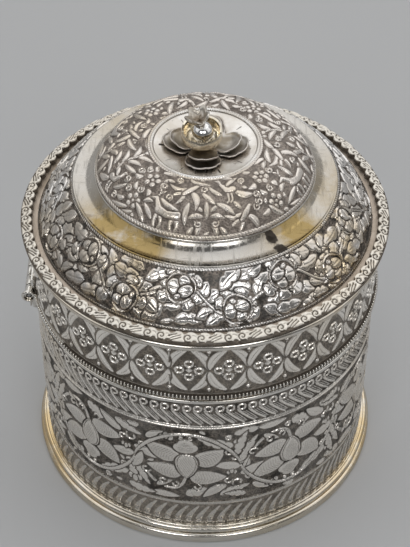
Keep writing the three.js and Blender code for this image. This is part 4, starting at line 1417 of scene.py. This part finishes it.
def makeDisc():
    look = discLook
    lift = 0.3
    face = arc((discRadius + 0.1, discEdge - 0.25), 0.5, -10, 100, 6)
    face += bowed((discRadius - 0.5, discEdge - lift), (1.9, discMiddle - lift), -0.4, 24)
    sheet = newSheet(face, look["cell"])
    angles, across = everyVertex(sheet)
    # thin rays tooled towards the rim, a fine circle and a roped edge
    phase = angles * look["rays"] / math.tau + 0.25 * np.sin(angles * 3) + 0.1 * np.sin(angles * 7)
    radius = np.interp(across, sheet["across"], sheet["radii"])
    away = np.abs(phase % 1 - 0.5) * math.tau / look["rays"] * radius
    begun = smooth(look["rayFrom"], look["rayFrom"] + 0.6, across)
    ended = 1 - smooth(look["rayTo"] - 2.5, look["rayTo"], across)
    rays = np.exp(-(away / 0.16) ** 2) * (begun * ended)
    circle = np.exp(-((across - 2.6) / 0.14) ** 2)
    sheet["height"] = lift - look["rayDepth"] * np.maximum(rays, circle)
    sheet["soot"] = 0.95 * rays + 0.3 * circle
    flat = sheet["height"].copy()
    sheet["height"][:] = 0
    layRope(sheet, *look["rope"])
    sheet["height"] = np.maximum(flat, sheet["height"] + lift)
    sheet["warm"] = smooth(4.0, 8.5, across) * (0.35 + 0.65 * patches(np.degrees(angles), look["warm"]))
    for piece in rollSheet("domeDisc", sheet, 1, 0.6, 0.6):
        finish(piece, "discSilver", "lid", "chased_silver", "lid_dome")
    lip = [(domeRadius - 2.8, coveTop + 0.3), (domeRadius + 0.3, coveTop + 0.3),
           (domeRadius + 0.45, coveTop + 0.5), (domeRadius + 0.45, domeEdge - 0.3),
           (domeRadius + 0.2, domeEdge), (domeRadius - 0.6, domeEdge - 0.1),
           (domeRadius - 2.8, coveTop + 0.8)]
    finish(turn("domeLip", lip, 256), "plainSilver", "lid", "chased_silver", "lid_dome")


makeDisc()
print("dome done")


# Finial: two layers of cupped petals, the calyx bowl with the bud in it, its crown, and the stud

petalLook = {"turns": (-4, 84, 170, 265), "sheet": 0.5, "lobes": 7, "lobeDepth": 0.1, "rim": 0.35,
             "round": 0.43, "hollow": 0.9}


def makePetals(name, node, cup, rise, twist):
    # separate round cups, each on its own middle, over a flat seat
    look = petalLook
    low, high = boxOf(node)
    foot = low[2]
    petalRadius = high[0] * look["round"]
    middle = high[0] - petalRadius
    pieces = []
    for k, turnedBy in enumerate(look["turns"]):
        deselect()
        columns, rows = 56, 18
        bpy.ops.mesh.primitive_grid_add(x_subdivisions=columns, y_subdivisions=rows, size=1)
        petal = bpy.context.object
        angle, share = np.meshgrid(np.linspace(0, math.tau, columns + 1), np.linspace(0, 1, rows + 1))
        # the outline is scalloped, sharp between the lobes
        lobes = (1 - np.abs(np.sin(angle * look["lobes"] / 2 + twist + k * 0.7))) ** 2
        reach = petalRadius * share * (1 - look["lobeDepth"] * lobes * share ** 3)
        x, y = middle + reach * np.cos(angle), reach * np.sin(angle) * 0.97
        outward = smooth(0.3, 1, x / high[0])
        z = foot + look["sheet"] + cup * share ** 2.6 * (0.35 + 0.65 * outward) + rise * outward ** 2
        z += look["rim"] * smooth(0.86, 0.96, share) * outward
        z += 0.25 * np.cos(angle * 2 + k * 1.9) * share ** 3 * outward
        place = np.stack([x, y, z], axis=-1) * mm
        petal.data.vertices.foreach_set("co", place.astype(np.float32).ravel())
        setLayer(petal, "warm", look["hollow"] * (1 - smooth(0.6, 0.92, share)))
        petal.data.transform(Matrix.Rotation(math.radians(turnedBy), 4, "Z"))
        tidyMesh(petal, 1e-7)
        if petal.data.polygons[0].normal.z < 0:
            petal.data.flip_normals()
        applyModifier(petal, "SOLIDIFY", thickness=look["sheet"] * mm, offset=-1.0)
        applyModifier(petal, "SUBSURF", levels=1, render_levels=1)
        shade(petal, 60)
        pieces.append(petal)
    section = [(1.9, foot), (4.2, foot), (4.5, foot + 0.25), (4.2, foot + 0.5), (1.9, foot + 0.5)]
    seat = turn(name + "Seat", section, 64)
    layer = joined(name, pieces + [seat])
    finish(layer, "petalSilver", "lid", "petal_silver", node)


makePetals("lowerPetals", "finial_lower_petals", 1.1, 0.5, 0.3)
makePetals("upperPetals", "finial_upper_petals", 1.6, 0.9, 1.1)

calyxLook = {"side": 3.8, "flat": 3.1, "sheet": 0.6, "closing": 24, "petals": 4, "lobeRise": 0.9,
             "groove": 0.05, "backRise": 2.1, "frontFall": 0.3}


def makeCalyx():
    # a bowl of four petals grown together, curled in at the rim
    look = calyxLook
    low, high = boxOf("finial_calyx")
    middleX, foot = (low[0] + high[0]) / 2, low[2]
    widest = (look["flat"], foot + look["side"])
    section = [(0, foot)] + arc(widest, look["side"], -90, look["closing"], 20)
    section += arc(widest, look["side"] - look["sheet"], look["closing"], -90, 18)
    section += [(0, foot + look["sheet"])]
    calyx = turn("calyx", section, 120)
    for vertex in calyx.data.vertices:
        angle = math.atan2(vertex.co.y, vertex.co.x)
        height = max(0.0, (vertex.co.z / mm - foot) / (2 * look["side"]))
        valley = abs(math.cos(angle * look["petals"] / 2)) ** 8
        inward = 1 - look["groove"] * valley * height
        backward = math.sin(angle)
        rise = look["backRise"] * max(0.0, backward) ** 0.7 - look["frontFall"] * max(0.0, -backward)
        vertex.co.z += rise * mm * height ** 2
        vertex.co.z -= look["lobeRise"] * mm * (1.6 * valley + 0.3 * math.cos(angle * 3 + 1)) * height ** 3
        vertex.co.x = vertex.co.x * inward + middleX * mm
        vertex.co.y *= inward
    shade(calyx, 50)
    finish(calyx, "calyxSilver", "lid", "petal_silver", "finial_calyx")


makeCalyx()


def makeBud():
    low, high = boxOf("finial_bud")
    radius = (high[1] - low[1]) / 2
    middle, height = (low[0] + high[0]) / 2, high[2] - radius
    foot = low[2]
    section = [(0, foot), (2.2, foot), (2.35, foot + 0.15), (2.2, foot + 0.6), (1.9, foot + 1.0)]
    section += arc((0, height), radius, -58, 90, 36)
    bud = turn("bud", section, 96, (middle, 0, 0))
    shade(bud, 50)
    finish(bud, "budSilver", "lid", "plain_silver", "finial_bud")
    return Vector((middle, 0, height)), radius


crownLook = {"lobes": 5, "tilt": 14.0, "height": 4.8, "radius": 3.75, "lobeDepth": 0.16, "droop": 1.5,
             "dip": 1.3}


def makeCrown(centre, radius):
    look = crownLook
    wide, tall = look["radius"], look["height"]
    outer = [(0.01, 0.0), (1.8, 0.0), (1.8, 0.5), (2.3, 1.1), (3.0, 1.9), (3.5, 2.9), (wide, 4.0),
             (wide, tall - 0.3)]
    inner = [(wide - 0.25, tall), (wide - 0.7, tall - 0.3), (2.7, 3.7), (2.1, 2.8), (1.3, 2.2), (0.01, 2.0)]
    crown = turn("crown", outer + inner, 90)
    places = placesOf(crown) / mm
    angle = np.arctan2(places[:, 1], places[:, 0])
    rise = np.clip(places[:, 2] / tall, 0, 1)
    lobe = np.cos(angle * look["lobes"] + 1.57)
    places[:, :2] *= (1 + look["lobeDepth"] * rise * lobe)[:, None]
    places[:, 2] -= look["dip"] * rise ** 2 * (0.5 - 0.5 * lobe)
    # the lobe at the front and right hangs down
    front = np.exp(-(((angle + 1.1 + math.pi) % math.tau - math.pi) / 0.55) ** 2)
    places[:, 2] -= look["droop"] * front * rise ** 2
    places[:, :2] *= (1 + 0.12 * front * rise)[:, None]
    crown.data.vertices.foreach_set("co", (places * mm).astype(np.float32).ravel())
    setLayer(crown, "warm", 0.9 * np.exp(-(np.hypot(places[:, 0], places[:, 1]) / 1.9) ** 4) * (rise > 0.3))
    tilt = math.radians(look["tilt"])
    seat = centre + Vector((-math.sin(tilt), 0, math.cos(tilt))) * (radius - 0.1)
    crown.data.transform(Matrix.Rotation(-tilt, 4, "Y"))
    crown.data.transform(Matrix.Translation(seat * mm))
    shade(crown, 50)
    finish(crown, "crownSilver", "lid", "petal_silver", "finial_crown")


makeCrown(*makeBud())

studLook = {"pitch": 0.7, "threadDepth": 0.14, "threadLength": 6.0, "washerGap": 0.3, "nutBevel": 0.25}


def makeStud():
    low, high = boxOf("finial_stud")
    radius, foot, top = high[1], low[2], high[2]
    section = [(0, foot), (radius - 0.4, foot)]
    level = foot + 0.3
    while level < foot + studLook["threadLength"]:
        section += [(radius, level), (radius - studLook["threadDepth"], level + studLook["pitch"] / 2)]
        level += studLook["pitch"]
    section += [(radius, level), (radius, top - 0.3), (radius - 0.3, top), (0, top)]
    finish(turn("stud", section, 32), "oldSteel", "lid", "steel", "finial_stud")
    low, high = boxOf("finial_washer")
    section = eased(radius + studLook["washerGap"], high[1], low[2], high[2], 0.2, 0.2)
    finish(turn("washer", section, 64), "oldSteel", "lid", "steel", "finial_washer")
    low, high = boxOf("finial_nut")
    deselect()
    tall = high[2] - low[2]
    across = max(high[0], high[1])
    bpy.ops.mesh.primitive_cylinder_add(vertices=6, radius=across * mm, depth=tall * mm,
                                        end_fill_type="NGON")
    nut = bpy.context.object
    nut.name = "nut"
    nut.data.transform(Matrix.Rotation(math.pi / 6, 4, "Z") if high[1] > high[0] else Matrix.Identity(4))
    nut.data.transform(Matrix.Translation((0, 0, (low[2] + high[2]) / 2 * mm)))
    bevelEdges(nut, studLook["nutBevel"], 2)
    shade(nut, 30)
    finish(nut, "oldSteel", "lid", "steel", "finial_nut")


makeStud()
print("finial done")


# Hinge: rolled knuckles on straps, soldered leaves, a pin and a collar at each end

hingeLook = {"radius": 1.6, "bore": 1.05, "strapInset": 0.9, "strapOverlap": 1.2, "strapBevel": 0.18,
             "leafBevel": 0.3}


def bevelledBlock(name, low, high, bevel):
    deselect()
    bpy.ops.mesh.primitive_cube_add(size=1)
    block = bpy.context.object
    block.name = name
    size = [(b - a) * mm for a, b in zip(low, high)]
    middle = [(a + b) / 2 * mm for a, b in zip(low, high)]
    block.data.transform(Matrix.Diagonal((*size, 1)))
    block.data.transform(Matrix.Translation(middle))
    bevelEdges(block, bevel, 3)
    return shade(block, 40)


def makeKnuckle(owner, index):
    node = owner + "_knuckle_" + str(index)
    low, high = boxOf(node)
    near, far = low[1], high[1]
    look = hingeLook
    section = eased(look["bore"], look["radius"], near, far, 0.15, 0.2)
    barrel = turn("knuckle" + str(index), section, 40, (hingeX, 0, hingeZ), "Y")
    # the strap runs from the barrel to the leaf, up on the lid and down on the body
    root = hingeZ + (look["strapOverlap"] if owner == "lid" else -look["strapOverlap"])
    tip = high[2] if owner == "lid" else low[2]
    strapLow = (hingeX - 0.1, near + look["strapInset"], min(root, tip))
    strapHigh = (hingeX + 0.6, far - look["strapInset"], max(root, tip))
    strap = bevelledBlock("strap", strapLow, strapHigh, look["strapBevel"])
    piece = joined("knuckle" + str(index), [barrel, strap])
    finish(piece, "plainSilver", owner, "plain_silver", node)


for index in (1, 3, 5):
    makeKnuckle("body", index)
for index in (2, 4):
    makeKnuckle("lid", index)


def makeLeaf(owner):
    node = owner + "_hinge_leaf"
    low, high = boxOf(node)
    # bowed to the wall: a block whose inner face follows the round
    leaf = bevelledBlock(owner + "HingeLeaf", low, high, hingeLook["leafBevel"])
    for vertex in leaf.data.vertices:
        if vertex.co.x > (low[0] + 0.6) * mm:
            vertex.co.x = -math.sqrt((wallRadius * mm) ** 2 - vertex.co.y ** 2)
    finish(leaf, "plainSilver", owner, "plain_silver", node)


makeLeaf("body")
makeLeaf("lid")


def makePinAndCollars():
    low, high = boxOf("hinge_pin")
    radius = (high[2] - low[2]) / 2
    section = eased(0, radius, low[1], high[1], 0.25, 0.3)
    pin = turn("hingePin", section, 32, (hingeX, 0, hingeZ), "Y")
    finish(pin, "oldSteel", "body", "steel", "hinge_pin")
    for node, name in (("hinge_collar_near", "nearCollar"), ("hinge_collar_far", "farCollar")):
        low, high = boxOf(node)
        outer = (high[2] - low[2]) / 2
        middle = (low[1] + high[1]) / 2
        half = (high[1] - low[1]) / 2
        ring = arc((outer - half, middle), half, -90, 90, 14)
        section = [(hingeLook["radius"] + 0.15, low[1])] + ring + [(hingeLook["radius"] + 0.15, high[1])]
        collar = turn(name, section, 48, (hingeX, 0, hingeZ), "Y")
        finish(collar, "plainSilver", "body", "plain_silver", node)


makePinAndCollars()
print("hinge done")


# Stage, lights and camera

stageLook = {"floor": (0.47, 0.475, 0.48), "size": 4.0, "fade": (0.6, 1.6)}


def makeStage():
    deselect()
    bpy.ops.mesh.primitive_plane_add(size=stageLook["size"], location=(0, 0, 0))
    floor = bpy.context.object
    floor.name = "floor"
    made, tree, shader = newMaterial("paleFloor")
    # far from the box, seen directly, the floor fades into the plain backdrop
    away = tree.nodes.new("ShaderNodeVectorMath")
    away.operation = "LENGTH"
    tree.links.new(objectPlace(tree), away.inputs[0])
    seen = tree.nodes.new("ShaderNodeLightPath").outputs["Is Camera Ray"]
    far = times(tree, ramp(tree, away.outputs["Value"], *stageLook["fade"]), seen)
    tree.links.new(mixed(tree, far, stageLook["floor"], (0.0, 0.0, 0.0)), shader.inputs["Base Color"])
    shader.inputs["Emission Color"].default_value = (1, 1, 1, 1)
    tree.links.new(times(tree, far, worldLook["seen"]), shader.inputs["Emission Strength"])
    shader.inputs["Roughness"].default_value = 0.85
    shader.inputs["Specular IOR Level"].default_value = 0.2
    floor.data.materials.append(made)


studioLights = [
    # name, place, aimed at, size, watts
    ("softTop", (0.1, 0.4, 1.2), (0, 0, 0.1), 2.0, 9.6),
    ("leftBox", (-1.1, -0.2, 0.9), (0, 0, 0.1), 1.0, 2.1),
    ("rightBox", (1.1, -0.1, 0.8), (0, 0, 0.1), 1.0, 2.1),
    ("leftSpark", (-0.35, -0.9, 0.75), (0, 0, 0.1), 0.4, 2.0),
    ("rightSpark", (0.35, -0.9, 0.75), (0, 0, 0.1), 0.4, 2.0),
]
worldLook = {"front": 0.14, "back": 0.5, "from": -0.7, "to": 0.8, "seen": 0.42}
cameraLook = {"place": (0.0, -0.3812, 0.4417), "down": 44.09, "roll": 0.1, "lens": 99.7}


def makeLights():
    for lightName, place, target, size, watts in studioLights:
        data = bpy.data.lights.new(lightName, "AREA")
        data.shape = "SQUARE"
        data.size = size
        data.energy = watts
        lamp = bpy.data.objects.new(lightName, data)
        bpy.context.scene.collection.objects.link(lamp)
        lamp.location = place
        lamp.rotation_euler = (Vector(target) - Vector(place)).to_track_quat("-Z", "Y").to_euler()
    world = bpy.data.worlds.new("studio")
    bpy.context.scene.world = world
    world.use_nodes = True
    # the room is darker on the camera's side; seen directly it is a plain pale backdrop
    tree = world.node_tree
    background = tree.nodes["Background"]
    background.inputs["Color"].default_value = (1, 1, 1, 1)
    parts = tree.nodes.new("ShaderNodeSeparateXYZ")
    tree.links.new(tree.nodes.new("ShaderNodeTexCoord").outputs["Generated"], parts.inputs[0])
    light = ramp(tree, parts.outputs["Y"], *(worldLook[key] for key in ("from", "to", "front", "back")))
    seen = tree.nodes.new("ShaderNodeLightPath").outputs["Is Camera Ray"]
    light = times(tree, light, calc(tree, "SUBTRACT", 1.0, seen))
    light = plus(tree, light, times(tree, seen, worldLook["seen"]))
    tree.links.new(light, background.inputs["Strength"])


def makeCamera():
    data = bpy.data.cameras.new("photoCamera")
    camera = bpy.data.objects.new("photoCamera", data)
    bpy.context.scene.collection.objects.link(camera)
    data.sensor_width = 36
    data.lens = cameraLook["lens"]
    camera.location = cameraLook["place"]
    tilt = Matrix.Rotation(math.radians(90 - cameraLook["down"]), 3, "X")
    roll = Matrix.Rotation(math.radians(cameraLook["roll"]), 3, "Z")
    camera.rotation_euler = (tilt @ roll).to_euler()
    bpy.context.scene.camera = camera
    bpy.context.scene.view_settings.view_transform = "Standard"


makeStage()
makeLights()
makeCamera()
